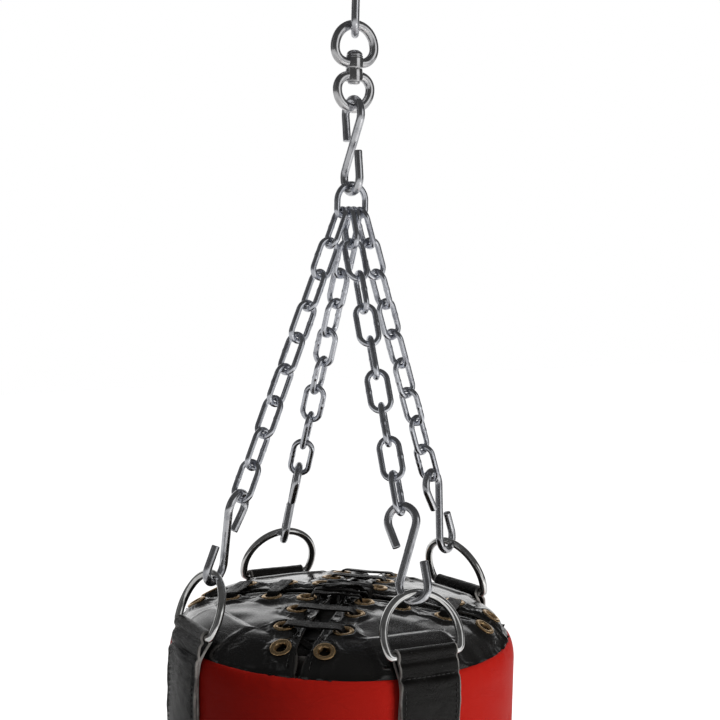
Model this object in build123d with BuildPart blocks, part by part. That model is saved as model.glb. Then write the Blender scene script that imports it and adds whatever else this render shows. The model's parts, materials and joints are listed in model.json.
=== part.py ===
from build123d import *
from math import asin, atan2, cos, degrees, hypot, radians, sin, sqrt
import os

os.makedirs("parts", exist_ok=True)

# A hanging heavy bag, in millimetres. The origin is the inner crown of the top hook, where the
# bag hangs from its bracket, and everything else is below it. Front is -Y, right is +X.

# ---- clearances ------------------------------------------------------------------------------
body_gap = 0.3          # between pieces that move on each other
link_gap = 0.05         # between links that stay taut
running_fit = 0.05      # radial, pin in bore
seat_gap = 0.1          # axial, washer and swivel faces

# ---- S-hooks ---------------------------------------------------------------------------------
hook_wire = 7.0         # diameter
hook_reach = 71.0       # inner crown to inner crown
hook_mouth = 18.0       # inner width of each loop
hook_tail = 18.0        # straight free end past the loop
hook_crimp = 12.0       # angle that a leg hook's upper end is closed by
main_crimp = 9.0        # angle that both ends of the main hook are closed by
main_tail = 21.0
hanger_azimuth = 59.0   # the top hook's plane

# ---- swivel ----------------------------------------------------------------------------------
swivel_wire = 8.0
upper_eye_width = 38.0      # centre-line
upper_eye_height = 31.5
lower_eye_width = 32.0
lower_eye_height = 27.0
upper_eye_shoulder = 12.0   # corner radius of the eyes beside the pin
lower_eye_shoulder = 11.0
boss_radius = 7.5
boss_height = 9.0
pin_radius = 3.6
pin_recess = 0.6            # the lower ring's bore starts below its wire
clench_flare = 1.8
clench_height = 2.4
pin_head_radius = 6.8
pin_head_height = 5.0
pin_head_rim = 1.0
washer_thickness = 1.2
washer_margin = 0.4         # past the pin's head
collar_height = 6.4

# ---- collector ring --------------------------------------------------------------------------
collector_wire = 5.5
collector_width = 27.5      # centre-line
collector_height = 26.5
collector_corner = 5.5
inner_link_offset = 3.05    # front and back links on the bar, from its middle
outer_link_offset = 8.4     # left and right links on the bar

# ---- chains ----------------------------------------------------------------------------------
link_wire = 5.0
link_inner_length = 28.7
link_width = 21.5           # outer
links_per_chain = 9

# ---- D-rings and straps ----------------------------------------------------------------------
ring_wire = 7.0
ring_radius = 34.8          # centre-line of the bow
ring_bar = 64.0             # centre-line length of the bar
ring_corner = 5.0
bar_inset = 8.5             # bar's middle, inside the bag's radius
strap_width = 55.0
strap_layer = 2.4
strap_parting = 22.0        # angle round the shoulder from the bar to where the layers meet
strap_pinch = 16.0          # angle to the end of the hollow between them
strap_length = 210.0        # from the shoulder's centre down the side

# ---- bag -------------------------------------------------------------------------------------
bag_radius = 150.0
bag_length = 1000.0
dome_radius = 650.0
shoulder_radius = 42.0
bottom_corner = 14.0
seam_angle = 25.5           # of the seam round the shoulder, above the level
leather = 3.0
foam_thickness = 20.0
lining_gap = 0.3
filling_gap = 0.3

# ---- lacing ----------------------------------------------------------------------------------
slit_half_width = 4.0
eyelet_places = (           # along the slit from the bag's axis, and out from its middle
    (57.0, 25.0),
    (95.0, 25.0),
    (128.0, 18.0),
)
crossed_pairs = 2           # with a rung over the slit, counted from the bag's axis
eyelet_tip = 36.0           # the one at each flap's tip, from the bag's axis
eyelet_radius = 9.0
eyelet_bore = 4.6
eyelet_barrel = 5.4
eyelet_rim = 1.0
eyelet_slack = 0.05         # under the leather, which curves
lace_width = 6.0
lace_thickness = 2.6
lace_gap = 0.3
tongue_depth = 7.5          # under the dome's outer face
tongue_thickness = 2.0
tongue_radius = 104.0
knot_radius = 26.0
knot_height = 10.0


def save(piece, name):
    """Label a finished builder and write it under its node's name."""
    piece.part.label = name
    export_step(piece.part, f"parts/{name}.step")


def dome_middle(radius, edge, top):
    """The middle of the arc from a round head's edge up to its top."""
    sphere = (radius ** 2 + (top - edge) ** 2) / (2 * (top - edge))
    half_angle = asin(radius / sphere) / 2
    return (sphere * sin(half_angle), top - sphere * (1 - cos(half_angle)))


def level(azimuth):
    """A level unit vector."""
    return Vector(cos(radians(azimuth)), sin(radians(azimuth)), 0)


def section_plane(path):
    """The plane across a wire at its start."""
    return Plane(origin=path @ 0, z_dir=path % 0)


# ---- heights, from the hang point down -------------------------------------------------------
eye_gap = swivel_wire / 2
hanger_bottom = -hook_reach
upper_eye_top = hanger_bottom + body_gap + eye_gap
upper_eye_bottom = upper_eye_top - upper_eye_height
boss_top = upper_eye_bottom + boss_height / 2
boss_bottom = upper_eye_bottom - boss_height / 2
collar_top = boss_bottom - seat_gap
lower_eye_top = collar_top - collar_height
lower_eye_bottom = lower_eye_top - lower_eye_height
main_hook_top = lower_eye_bottom + eye_gap + body_gap
main_hook_bottom = main_hook_top - hook_reach
collector_top = main_hook_bottom + body_gap + collector_wire / 2
collector_bar = collector_top - collector_height
link_wrap = collector_wire / 2 + body_gap + link_wire / 2
bar_reach = bag_radius - bar_inset


# ---- hooks -----------------------------------------------------------------------------------
def hook_plane(crown, across, down):
    """A plane with its origin on the inner crown, x across the hook and y up along the pull."""
    up = -down
    return Plane(origin=crown, x_dir=across, z_dir=across.cross(up))


def s_hook(plane, crimp=0.0, foot_crimp=0.0, tail=hook_tail):
    """Round wire bent to an S: two loops in line with the pull, joined by a slanting shank."""
    bend = hook_mouth / 2 + hook_wire / 2
    upper = -hook_mouth / 2
    lower = -hook_reach + hook_mouth / 2
    slant = degrees(atan2(2 * bend, sqrt((upper - lower) ** 2 - 4 * bend ** 2)))
    with BuildPart() as hook:
        with BuildLine(plane) as path:
            top = CenterArc((0, upper), bend, -crimp, 180 + slant + crimp)
            Line(top @ 0 - (top % 0) * tail, top @ 0)
            bottom = CenterArc((0, lower), bend, slant, -180 - slant - foot_crimp)
            Line(top @ 1, bottom @ 0)
            Line(bottom @ 1, bottom @ 1 + (bottom % 1) * tail)
        with BuildSketch(section_plane(path.wire())):
            Circle(hook_wire / 2)
        sweep(path=path.wire())
    return hook


down = Vector(0, 0, -1)
hanger_plane = hook_plane(Vector(0, 0, 0), level(hanger_azimuth), down)
save(s_hook(hanger_plane), "hanger_hook")
main_plane = hook_plane(Vector(0, 0, main_hook_top), level(90), down)
save(s_hook(main_plane, main_crimp, main_crimp, main_tail), "main_hook")


# ---- rings -----------------------------------------------------------------------------------
def bent_ring(plane, width, height, upper_corner, lower_corner):
    """The centre-line of a ring whose top middle is the plane's origin."""
    half = width / 2
    corners = (
        (half - upper_corner, -upper_corner, upper_corner, 0),
        (upper_corner - half, -upper_corner, upper_corner, 90),
        (lower_corner - half, lower_corner - height, lower_corner, 180),
        (half - lower_corner, lower_corner - height, lower_corner, 270),
    )
    with BuildLine(plane) as path:
        bends = [CenterArc((x, y), radius, start, 90) for x, y, radius, start in corners]
        for bend, following in zip(bends, bends[1:] + bends[:1]):
            if (following @ 0 - bend @ 1).length > 0.001:
                Line(bend @ 1, following @ 0)
    return path.wire()


def wire_ring(path, diameter):
    """Sweep round wire along a closed centre-line into the active part."""
    with BuildSketch(section_plane(path)) as section:
        Circle(diameter / 2)
    sweep(sections=section.sketch, path=path)


def at_height(height):
    """The ring plane, which faces front, moved down the axis."""
    return Plane(origin=(0, 0, height), x_dir=(1, 0, 0), z_dir=(0, -1, 0))


upper_path = bent_ring(
    at_height(upper_eye_top),
    upper_eye_width,
    upper_eye_height,
    upper_eye_width / 2,
    upper_eye_shoulder,
)
with BuildPart() as swivel_upper_ring:
    wire_ring(upper_path, swivel_wire)
    with BuildSketch(Plane.XY.offset(boss_bottom)):
        Circle(boss_radius)
    extrude(amount=boss_height)
    with BuildSketch(Plane.XY.offset(boss_bottom)):
        Circle(pin_radius + running_fit)
    extrude(amount=boss_height, mode=Mode.SUBTRACT)
save(swivel_upper_ring, "swivel_upper_ring")

lower_path = bent_ring(
    at_height(lower_eye_top),
    lower_eye_width,
    lower_eye_height,
    lower_eye_shoulder,
    lower_eye_width / 2,
)
lower_boss_bottom = lower_eye_top - eye_gap - pin_recess
with BuildPart() as swivel_lower_ring:
    wire_ring(lower_path, swivel_wire)
    with BuildSketch(Plane.XY.offset(lower_boss_bottom)):
        Circle(boss_radius)
    extrude(amount=collar_top - lower_boss_bottom)
    with BuildSketch(Plane.XY.offset(lower_boss_bottom)):
        Circle(pin_radius)
    extrude(amount=collar_top - lower_boss_bottom, mode=Mode.SUBTRACT)
save(swivel_lower_ring, "swivel_lower_ring")

# The rivet pin is clenched in the lower ring, and its domed head turns on a washer.
washer_bottom = boss_top + seat_gap
pin_head_bottom = washer_bottom + washer_thickness
clench_radius = pin_radius + clench_flare
pin_top = pin_head_bottom + pin_head_height
head_edge = pin_head_bottom + pin_head_rim
with BuildPart() as swivel_pin:
    with BuildSketch(Plane.XZ):
        with BuildLine():
            Polyline(
                (0, pin_top),
                (0, lower_boss_bottom - clench_height),
                (clench_radius * 0.6, lower_boss_bottom - clench_height),
                (clench_radius, lower_boss_bottom),
                (pin_radius, lower_boss_bottom),
                (pin_radius, pin_head_bottom),
                (pin_head_radius, pin_head_bottom),
                (pin_head_radius, head_edge),
            )
            ThreePointArc(
                (pin_head_radius, head_edge),
                dome_middle(pin_head_radius, head_edge, pin_top),
                (0, pin_top),
            )
        make_face()
    revolve(axis=Axis.Z)
save(swivel_pin, "swivel_pin")

with BuildPart() as swivel_washer:
    with BuildSketch(Plane.XY.offset(washer_bottom)):
        Circle(pin_head_radius + washer_margin)
        Circle(pin_radius, mode=Mode.SUBTRACT)
    extrude(amount=washer_thickness)
save(swivel_washer, "swivel_washer")

collector_path = bent_ring(
    at_height(collector_top),
    collector_width,
    collector_height,
    collector_width / 2,
    collector_corner,
)
with BuildPart() as collector_ring:
    wire_ring(collector_path, collector_wire)
save(collector_ring, "collector_ring")


# ---- legs: chain, S-hook and D-ring in one straight line --------------------------------------
ring_rise = sqrt(ring_radius ** 2 - (ring_bar / 2) ** 2)
ring_reach = ring_rise + ring_radius - ring_wire / 2
below_chain = hook_reach - body_gap + ring_reach
taut_pitch = link_inner_length - link_gap
taut_leg = link_wire / 2 - link_wrap + links_per_chain * taut_pitch + below_chain
bar_height = collector_bar - sqrt(taut_leg ** 2 - bar_reach ** 2 - inner_link_offset ** 2)

# Each side: its azimuth from +X, its link's place on the bar, and the azimuth that the S-hook's
# loops have turned to along the twisted chain.
sides = {
    "front": (-93, -inner_link_offset, 122),
    "left": (179, -outer_link_offset, 32),
    "back": (86, inner_link_offset, 242),
    "right": (9, outer_link_offset, 209),
}


def turned(direction, turn):
    """A unit vector across a leg, turned about it from the link that sits on the bar."""
    across = level(90)
    across = (across - direction * across.dot(direction)).normalized()
    return across * cos(radians(turn)) + (-direction).cross(across) * sin(radians(turn))


def chain(start, direction, pitch, twist):
    """Welded links, each a quarter turn and a little more from the one above."""
    bend = link_width / 2 - link_wire / 2
    side = link_inner_length / 2 - bend + link_wire / 2
    with BuildPart() as links:
        for number in range(links_per_chain):
            across = turned(direction, number * (90 + twist))
            middle = start + direction * (number * pitch + link_inner_length / 2)
            plane = Plane(origin=middle, x_dir=across, z_dir=across.cross(-direction))
            with BuildLine(plane, mode=Mode.PRIVATE) as path:
                Line((bend, -side), (bend, side))
                CenterArc((0, side), bend, 0, 180)
                Line((-bend, side), (-bend, -side))
                CenterArc((0, -side), bend, 180, 180)
            wire_ring(path.wire(), link_wire)
    return links


def d_ring(bar_middle, across, direction):
    """A round bow closed by a straight bar, in the plane of its leg."""
    plane = Plane(origin=bar_middle, x_dir=across, z_dir=across.cross(-direction))
    with BuildPart() as ring:
        with BuildSketch(plane, mode=Mode.PRIVATE) as outline:
            with Locations((0, ring_rise)):
                Circle(ring_radius)
            with Locations((0, -ring_radius)):
                Rectangle(4 * ring_radius, 2 * ring_radius, mode=Mode.SUBTRACT)
            fillet(outline.vertices(), ring_corner)
        wire_ring(outline.sketch.face().outer_wire(), ring_wire)
    return ring


for side_name, (azimuth, offset, hook_azimuth) in sides.items():
    on_bar = Vector(offset, 0, collector_bar)
    bar_middle = level(azimuth) * bar_reach + Vector(0, 0, bar_height)
    lean = bar_middle - on_bar
    crown = on_bar - Vector(0, lean.Y, lean.Z).normalized() * link_wrap
    direction = (bar_middle - crown).normalized()
    start = crown + direction * (link_wire / 2)
    pitch = ((bar_middle - start).length - below_chain) / links_per_chain
    twist = ((hook_azimuth + 90) % 180 - 90) / links_per_chain
    save(chain(start, direction, pitch, twist), f"chain_{side_name}")

    hook_crown = start + direction * (links_per_chain * pitch)
    hook_across = level(hook_azimuth)
    hook_across = (hook_across - direction * hook_across.dot(direction)).normalized()
    save(s_hook(hook_plane(hook_crown, hook_across, direction), hook_crimp), f"hook_{side_name}")

    save(d_ring(bar_middle, level(azimuth + 90), direction), f"d_ring_{side_name}")


# ---- the bag's outline -----------------------------------------------------------------------
# The dome and the shoulder are arcs that meet smoothly. The straps' loops lie on the shoulder.
loop_inner = ring_wire / 2 + body_gap
loop_outer = loop_inner + strap_layer
shoulder_reach = bag_radius - shoulder_radius
loop_seat = shoulder_radius + loop_outer + body_gap
shoulder_height = bar_height - sqrt(loop_seat ** 2 - (bar_reach - shoulder_reach) ** 2)
dome_centre = shoulder_height - sqrt((dome_radius - shoulder_radius) ** 2 - shoulder_reach ** 2)
bag_bottom = dome_centre + dome_radius - bag_length
blend = atan2(shoulder_height - dome_centre, shoulder_reach)


crest_reach = shoulder_reach + shoulder_radius * cos(blend)
dome_top = dome_centre + dome_radius


def face_centre(reach):
    """The centre of the arc that the top's face follows there: the dome's or the shoulder's."""
    if reach < crest_reach:
        return 0, dome_centre, dome_radius
    return shoulder_reach, shoulder_height, shoulder_radius


def face_height(reach):
    """Height of the top's outer face at a distance from the axis."""
    middle, height, radius = face_centre(reach)
    return height + sqrt(radius ** 2 - (reach - middle) ** 2)


def bag_outline(depth):
    """The face inside the bag's half outline, drawn in by the depth."""
    dome = dome_radius - depth
    shoulder = shoulder_radius - depth
    corner = bottom_corner - depth
    side = bag_radius - depth
    floor = bag_bottom + depth
    meet = (shoulder_reach + shoulder * cos(blend), shoulder_height + shoulder * sin(blend))
    crest = blend / 2 + radians(45)
    swell = blend / 2
    with BuildSketch() as face:
        with BuildLine():
            Line((0, floor), (0, dome_centre + dome))
            ThreePointArc(
                (0, dome_centre + dome),
                (dome * cos(crest), dome_centre + dome * sin(crest)),
                meet,
            )
            ThreePointArc(
                meet,
                (shoulder_reach + shoulder * cos(swell), shoulder_height + shoulder * sin(swell)),
                (side, shoulder_height),
            )
            Line((side, shoulder_height), (side, floor + corner))
            ThreePointArc(
                (side, floor + corner),
                (side - corner + corner * cos(radians(45)), floor + corner - corner * sin(radians(45))),
                (side - corner, floor),
            )
            Line((side - corner, floor), (0, floor))
        make_face()
    return face.sketch


def radial_plane(azimuth):
    """An upright plane through the axis, with x outward and y up."""
    out = level(azimuth)
    return Plane(origin=(0, 0, 0), x_dir=out, z_dir=out.cross(Vector(0, 0, 1)))


# The seam's face runs straight out from the shoulder's centre.
far = 4 * shoulder_radius
seam_end = (
    shoulder_reach + far * cos(radians(seam_angle)),
    shoulder_height + far * sin(radians(seam_angle)),
)
bottom_seam = bag_bottom + bottom_corner


# ---- side cover, bottom, lining and filling --------------------------------------------------
with BuildPart() as side_cover:
    with BuildSketch(radial_plane(0)):
        add(bag_outline(0))
        add(bag_outline(leather), mode=Mode.SUBTRACT)
        with BuildLine():
            Polyline(
                (shoulder_reach, shoulder_height),
                seam_end,
                (seam_end[0], bottom_seam),
                (shoulder_reach, bottom_seam),
                close=True,
            )
        make_face(mode=Mode.INTERSECT)
    revolve(axis=Axis.Z)
save(side_cover, "side_cover")

with BuildPart() as bottom_panel:
    with BuildSketch(radial_plane(0)):
        add(bag_outline(0))
        add(bag_outline(leather), mode=Mode.SUBTRACT)
        with Locations((0, bottom_seam)):
            Rectangle(bag_radius, bag_length, align=(Align.MIN, Align.MIN), mode=Mode.SUBTRACT)
    revolve(axis=Axis.Z)
save(bottom_panel, "bottom_panel")

lining_outer = bag_radius - leather - lining_gap
lining_inner = lining_outer - foam_thickness
filling_radius = lining_inner - filling_gap
with BuildPart() as foam_lining:
    with BuildSketch(Plane.XY.offset(bottom_seam)):
        Circle(lining_outer)
        Circle(lining_inner, mode=Mode.SUBTRACT)
    extrude(amount=shoulder_height - bottom_seam)
save(foam_lining, "foam_lining")

filling_depth = tongue_depth + tongue_thickness + filling_gap
with BuildPart() as filling:
    with BuildSketch(radial_plane(0)):
        add(bag_outline(filling_depth))
        with Locations((0, bag_bottom + leather + filling_gap)):
            Rectangle(filling_radius, bag_length, align=(Align.MIN, Align.MIN), mode=Mode.INTERSECT)
    revolve(axis=Axis.Z)
save(filling, "filling")


# ---- top: four laced flaps over a tongue -----------------------------------------------------
def along_slit(azimuth, reach, offset):
    """A plane on the top beside a slit, facing out, with x along the slit."""
    out = level(azimuth)
    place = out * reach + out.rotate(Axis.Z, 90) * offset
    distance = place.length
    middle, height, radius = face_centre(distance)
    rise = Vector(0, 0, face_height(distance))
    centre = place.normalized() * middle + Vector(0, 0, height)
    facing = (place + rise - centre).normalized()
    along = (out - facing * out.dot(facing)).normalized()
    return Plane(origin=place + rise, x_dir=along, z_dir=facing)


def flap_eyelets(azimuth):
    """The planes of one flap's eyelets: a row beside each of its two slits."""
    planes = [along_slit(azimuth, eyelet_tip, 0)]
    for slit, side in ((azimuth - 45, 1), (azimuth + 45, -1)):
        for reach, offset in eyelet_places:
            planes.append(along_slit(slit, reach, side * offset))
    return planes


def top_flap(azimuth):
    """A quarter of the domed top, with its edges drawn back from the slits and its holes."""
    with BuildPart() as flap:
        with BuildSketch(radial_plane(azimuth - 45)):
            add(bag_outline(0))
            add(bag_outline(leather), mode=Mode.SUBTRACT)
            with BuildLine():
                Polyline(
                    (0, shoulder_height),
                    (shoulder_reach, shoulder_height),
                    seam_end,
                    (0, seam_end[1] + far),
                    close=True,
                )
            make_face(mode=Mode.INTERSECT)
        revolve(axis=Axis.Z, revolution_arc=90)
        for slit in (azimuth - 45, azimuth + 45):
            with BuildSketch(Plane(origin=(0, 0, shoulder_height), x_dir=level(slit), z_dir=(0, 0, 1))):
                Rectangle(bag_radius, 2 * slit_half_width, align=(Align.MIN, Align.CENTER))
            extrude(amount=far, mode=Mode.SUBTRACT)
        for place in flap_eyelets(azimuth):
            with BuildSketch(place):
                Circle(eyelet_barrel)
            extrude(amount=2 * leather, both=True, mode=Mode.SUBTRACT)
    return flap


def eyelets(azimuth):
    """Rolled brass rings through one flap, with a rim on both faces."""
    with BuildPart() as rings:
        for place in flap_eyelets(azimuth):
            middle = Plane(origin=place.origin, x_dir=place.z_dir, z_dir=place.x_dir)
            curve = face_centre(hypot(place.origin.X, place.origin.Y))[2] - leather
            eyelet_back = leather + curve - sqrt(curve ** 2 - eyelet_radius ** 2) + eyelet_slack
            with BuildSketch(middle):
                with BuildLine():
                    Polyline(
                        (eyelet_rim, eyelet_bore),
                        (eyelet_rim, eyelet_radius - eyelet_rim),
                        (0, eyelet_radius),
                        (0, eyelet_barrel),
                        (-eyelet_back, eyelet_barrel),
                        (-eyelet_back, eyelet_radius),
                        (-eyelet_back - eyelet_rim, eyelet_radius - eyelet_rim),
                        (-eyelet_back - eyelet_rim, eyelet_bore),
                        close=True,
                    )
                make_face()
            revolve(axis=Axis(place.origin, place.z_dir))
    return rings


flap_azimuths = {"front": -90, "left": 180, "back": 90, "right": 0}
for side_name, azimuth in flap_azimuths.items():
    save(top_flap(azimuth), f"top_flap_{side_name}")
    save(eyelets(azimuth), f"eyelets_{side_name}")

with BuildPart() as tongue:
    with BuildSketch(radial_plane(0)):
        add(bag_outline(tongue_depth))
        add(bag_outline(tongue_depth + tongue_thickness), mode=Mode.SUBTRACT)
        with Locations((0, shoulder_height)):
            Rectangle(tongue_radius, far, align=(Align.MIN, Align.MIN), mode=Mode.INTERSECT)
    revolve(axis=Axis.Z)
save(tongue, "tongue")


def lace(azimuth):
    """Flat lacing over one slit: a rung at each pair of eyelets, with its ends down the bores."""
    top = eyelet_rim + lace_gap + lace_thickness
    foot = -tongue_depth + 2 * lace_gap
    with BuildPart() as rungs:
        for arm in (azimuth, azimuth + 180):
            for reach, offset in eyelet_places[:crossed_pairs]:
                outer = offset + lace_thickness / 2
                seat = along_slit(arm, reach, 0)
                across = Plane(origin=seat.origin, x_dir=seat.y_dir, z_dir=seat.x_dir)
                with BuildSketch(across):
                    with BuildLine():
                        Polyline((-outer, foot), (-outer, top), (outer, top), (outer, foot), close=True)
                    make_face()
                    with Locations((0, top - lace_thickness)):
                        Rectangle(
                            2 * (outer - lace_thickness),
                            4 * tongue_depth,
                            align=(Align.CENTER, Align.MAX),
                            mode=Mode.SUBTRACT,
                        )
                extrude(amount=lace_width / 2, both=True)
    return rungs


save(lace(-45), "lace_left_right")
save(lace(45), "lace_front_back")

knot_seat = dome_top + lace_gap
knot_top = knot_seat + knot_height
with BuildPart() as lace_knot:
    with BuildSketch(Plane.XZ):
        with BuildLine():
            Polyline((0, knot_top), (0, knot_seat), (knot_radius, knot_seat))
            ThreePointArc(
                (knot_radius, knot_seat),
                dome_middle(knot_radius, knot_seat, knot_top),
                (0, knot_top),
            )
        make_face()
    revolve(axis=Axis.Z)
save(lace_knot, "lace_knot")


# ---- straps: leather folded over each D-ring's bar and sewn down the side --------------------
def strap(azimuth):
    """Two layers down the side and over the shoulder, parting to a loop round the bar."""
    bar = (bar_reach, bar_height)
    lift = degrees(atan2(bar_height - shoulder_height, bar_reach - shoulder_reach))
    under = shoulder_radius + body_gap
    over = under + 2 * strap_layer
    parting = lift - strap_parting
    end = shoulder_height - strap_length

    def on_shoulder(radius, angle):
        return (
            shoulder_reach + radius * cos(radians(angle)),
            shoulder_height + radius * sin(radians(angle)),
        )

    with BuildSketch() as bore:
        with Locations(bar):
            Circle(loop_inner)
        with Locations(on_shoulder((under + over) / 2, lift - strap_pinch)):
            Circle(body_gap)
        make_hull()
    with BuildPart() as band:
        with BuildSketch(radial_plane(azimuth - 15)):
            with BuildLine():
                CenterArc((shoulder_reach, shoulder_height), under, 0, parting)
                CenterArc((shoulder_reach, shoulder_height), over, 0, parting)
                Line(on_shoulder(under, parting), on_shoulder(over, parting))
                Line(on_shoulder(under, 0), (shoulder_reach + under, end))
                Line((shoulder_reach + under, end), (shoulder_reach + over, end))
                Line((shoulder_reach + over, end), on_shoulder(over, 0))
            make_face()
        revolve(axis=Axis.Z, revolution_arc=30)
        with BuildSketch(radial_plane(azimuth)):
            Rectangle(4 * bag_length, 4 * bag_length)
        extrude(amount=strap_width / 2, both=True, mode=Mode.INTERSECT)
        with BuildSketch(radial_plane(azimuth)):
            with Locations(bar):
                Circle(loop_outer)
            with Locations(on_shoulder((under + over) / 2, parting)):
                Circle(strap_layer)
            make_hull()
            add(bore.sketch, mode=Mode.SUBTRACT)
            with Locations((shoulder_reach, shoulder_height)):
                Circle(under, mode=Mode.SUBTRACT)
        extrude(amount=strap_width / 2, both=True)
    return band


for side_name, (azimuth, offset, hook_azimuth) in sides.items():
    save(strap(azimuth), f"strap_{side_name}")
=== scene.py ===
import json
import bmesh
import bpy
import numpy as np
from mathutils import Matrix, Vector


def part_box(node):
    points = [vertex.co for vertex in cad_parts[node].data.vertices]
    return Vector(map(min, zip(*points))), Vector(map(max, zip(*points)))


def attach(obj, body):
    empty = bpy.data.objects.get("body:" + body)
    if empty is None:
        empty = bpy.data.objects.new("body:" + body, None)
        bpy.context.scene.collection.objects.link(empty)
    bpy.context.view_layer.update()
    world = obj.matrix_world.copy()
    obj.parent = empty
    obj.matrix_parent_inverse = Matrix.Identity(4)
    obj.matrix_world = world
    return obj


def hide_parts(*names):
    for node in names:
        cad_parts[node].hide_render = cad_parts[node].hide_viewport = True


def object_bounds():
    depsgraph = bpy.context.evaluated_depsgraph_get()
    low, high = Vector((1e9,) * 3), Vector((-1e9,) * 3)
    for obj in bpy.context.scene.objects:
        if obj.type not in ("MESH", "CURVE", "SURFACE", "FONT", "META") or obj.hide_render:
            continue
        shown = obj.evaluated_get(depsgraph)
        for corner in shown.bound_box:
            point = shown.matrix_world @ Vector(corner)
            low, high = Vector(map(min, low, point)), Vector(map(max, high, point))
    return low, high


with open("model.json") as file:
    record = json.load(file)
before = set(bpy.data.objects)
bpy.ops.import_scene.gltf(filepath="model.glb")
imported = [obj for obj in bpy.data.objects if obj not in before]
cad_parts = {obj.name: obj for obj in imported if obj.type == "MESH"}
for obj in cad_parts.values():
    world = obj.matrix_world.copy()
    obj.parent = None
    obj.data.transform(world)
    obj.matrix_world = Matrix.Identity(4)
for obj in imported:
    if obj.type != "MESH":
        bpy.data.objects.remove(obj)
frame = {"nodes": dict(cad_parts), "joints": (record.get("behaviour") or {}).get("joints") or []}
cad_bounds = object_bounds()

# A heavy bag hung on four chains. Sizes are in metres, the hang point is the origin, front is -Y
# and right is +X. The sections follow the bag from its hook down, after the studio it hangs in.


# ---- studio: a pale floor, a white backdrop and four softboxes ---------------------------------
# A camera level with the chains looks a little down from the front left. A tall soft window
# stands front right, with a weak fill front left, one lamp behind the bag and one overhead.
def unit(vector):
    """The vector, or each row of vectors, divided by its length."""
    vector = np.asarray(vector, float)
    return vector / np.linalg.norm(vector, axis=-1, keepdims=True)


def level(azimuth):
    """A level unit vector, its azimuth in degrees from +X."""
    return np.array((np.cos(np.radians(azimuth)), np.sin(np.radians(azimuth)), 0.0))


def aim(thing, place, forward, right):
    """Stand a camera or lamp at a place, with its -Z along forward and its X along right."""
    back = -unit(forward)
    axes = np.column_stack((unit(right), np.cross(back, unit(right)), back))
    thing.matrix_world = Matrix.Translation(place) @ Matrix(axes.tolist()).to_4x4()
    bpy.context.collection.objects.link(thing)


camera_azimuth, camera_pitch, camera_yaw, camera_roll = np.radians((-31.04, 5.881, 0.460, 1.295))
camera_distance, camera_height = 1.3, -0.21535
camera = bpy.data.objects.new("camera", bpy.data.cameras.new("camera"))
camera.data.lens = 76.19
camera.data.clip_end = 50
outward = np.array((np.sin(camera_azimuth), -np.cos(camera_azimuth), 0))
sideways = np.array((np.cos(camera_azimuth), np.sin(camera_azimuth), 0))
upright = np.array((0, 0, 1.0))
facing = -outward * np.cos(camera_yaw) + sideways * np.sin(camera_yaw)
view_right = np.cross(facing, upright)
view_forward = facing * np.cos(camera_pitch) - upright * np.sin(camera_pitch)
view_up = np.cross(view_right, view_forward)
rolled = view_right * np.cos(camera_roll) + view_up * np.sin(camera_roll)
aim(camera, outward * camera_distance + upright * camera_height, view_forward, rolled)
scene = bpy.context.scene
scene.camera = camera
scene.view_settings.view_transform = "Standard"


def softbox(name, place, target, size, watts, colour):
    """A rectangular area lamp at a place, turned to a target."""
    lamp = bpy.data.lights.new(name, "AREA")
    lamp.shape = "RECTANGLE"
    lamp.size, lamp.size_y = size
    lamp.energy = watts
    lamp.color = colour
    forward = unit(np.subtract(target, place))
    box = bpy.data.objects.new(name, lamp)
    box.visible_glossy = False
    aim(box, place, forward, np.cross(forward, upright))


softbox("window", (1.15, -2.28, 0.15), (0, 0, -0.6), (1.3, 2.4), 62, (1, 0.985, 0.96))
softbox("fill", (-2.6, -1.3, 0.4), (0, 0, -0.5), (0.35, 1.8), 0.4, (0.93, 0.97, 1))
softbox("behind", (1.2, 2.3, 0.1), (0, 0, -0.8), (1.4, 2.2), 26, (1, 1, 1))
softbox("overhead", (-0.2, 0.9, 1.9), (0, 0, -0.6), (2.4, 1.6), 20, (1, 1, 1))


def link(tree, source, target):
    """Join two sockets of a node tree."""
    tree.links.new(source, target)


def node(tree, kind, **settings):
    """A node of a kind, with its properties set."""
    made = tree.nodes.new(kind)
    for key, value in settings.items():
        setattr(made, key, value)
    return made


def feed(tree, socket, value):
    """Give a socket a number, a colour, or another node's output."""
    if isinstance(value, bpy.types.NodeSocket):
        link(tree, value, socket)
    elif value is not None:
        socket.default_value = value


def feed_all(tree, made, **values):
    """Give a node's sockets their values by name, _ for a space, and return its outputs."""
    for label, value in values.items():
        feed(tree, made.inputs[label.replace("_", " ")], value)
    return made.outputs


def math(tree, operation, *values, clamp=False):
    """The output of a Math node."""
    made = node(tree, "ShaderNodeMath", operation=operation, use_clamp=clamp)
    for socket, value in zip(made.inputs, values):
        feed(tree, socket, value)
    return made.outputs[0]


def spread(tree, value, low, high, to_low=0.0, to_high=1.0):
    """The value carried from one range to another and held within it."""
    made = node(tree, "ShaderNodeMapRange", interpolation_type="SMOOTHSTEP")
    for socket, number in zip(made.inputs, (value, low, high, to_low, to_high)):
        feed(tree, socket, number)
    return made.outputs[0]


def blend(tree, amount, first, second):
    """Two colours mixed by an amount: each is three numbers or another node's output."""
    made = node(tree, "ShaderNodeMix", data_type="RGBA")
    feed(tree, made.inputs[0], amount)
    for socket, colour in zip(made.inputs[6:8], (first, second)):
        feed(tree, socket, colour if isinstance(colour, bpy.types.NodeSocket) else (*colour, 1))
    return made.outputs[2]


def stretched(tree, vector, factors):
    """A vector with each of its parts scaled."""
    made = node(tree, "ShaderNodeVectorMath", operation="MULTIPLY")
    for socket, value in zip(made.inputs, (vector, factors)):
        feed(tree, socket, value)
    return made.outputs[0]


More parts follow.
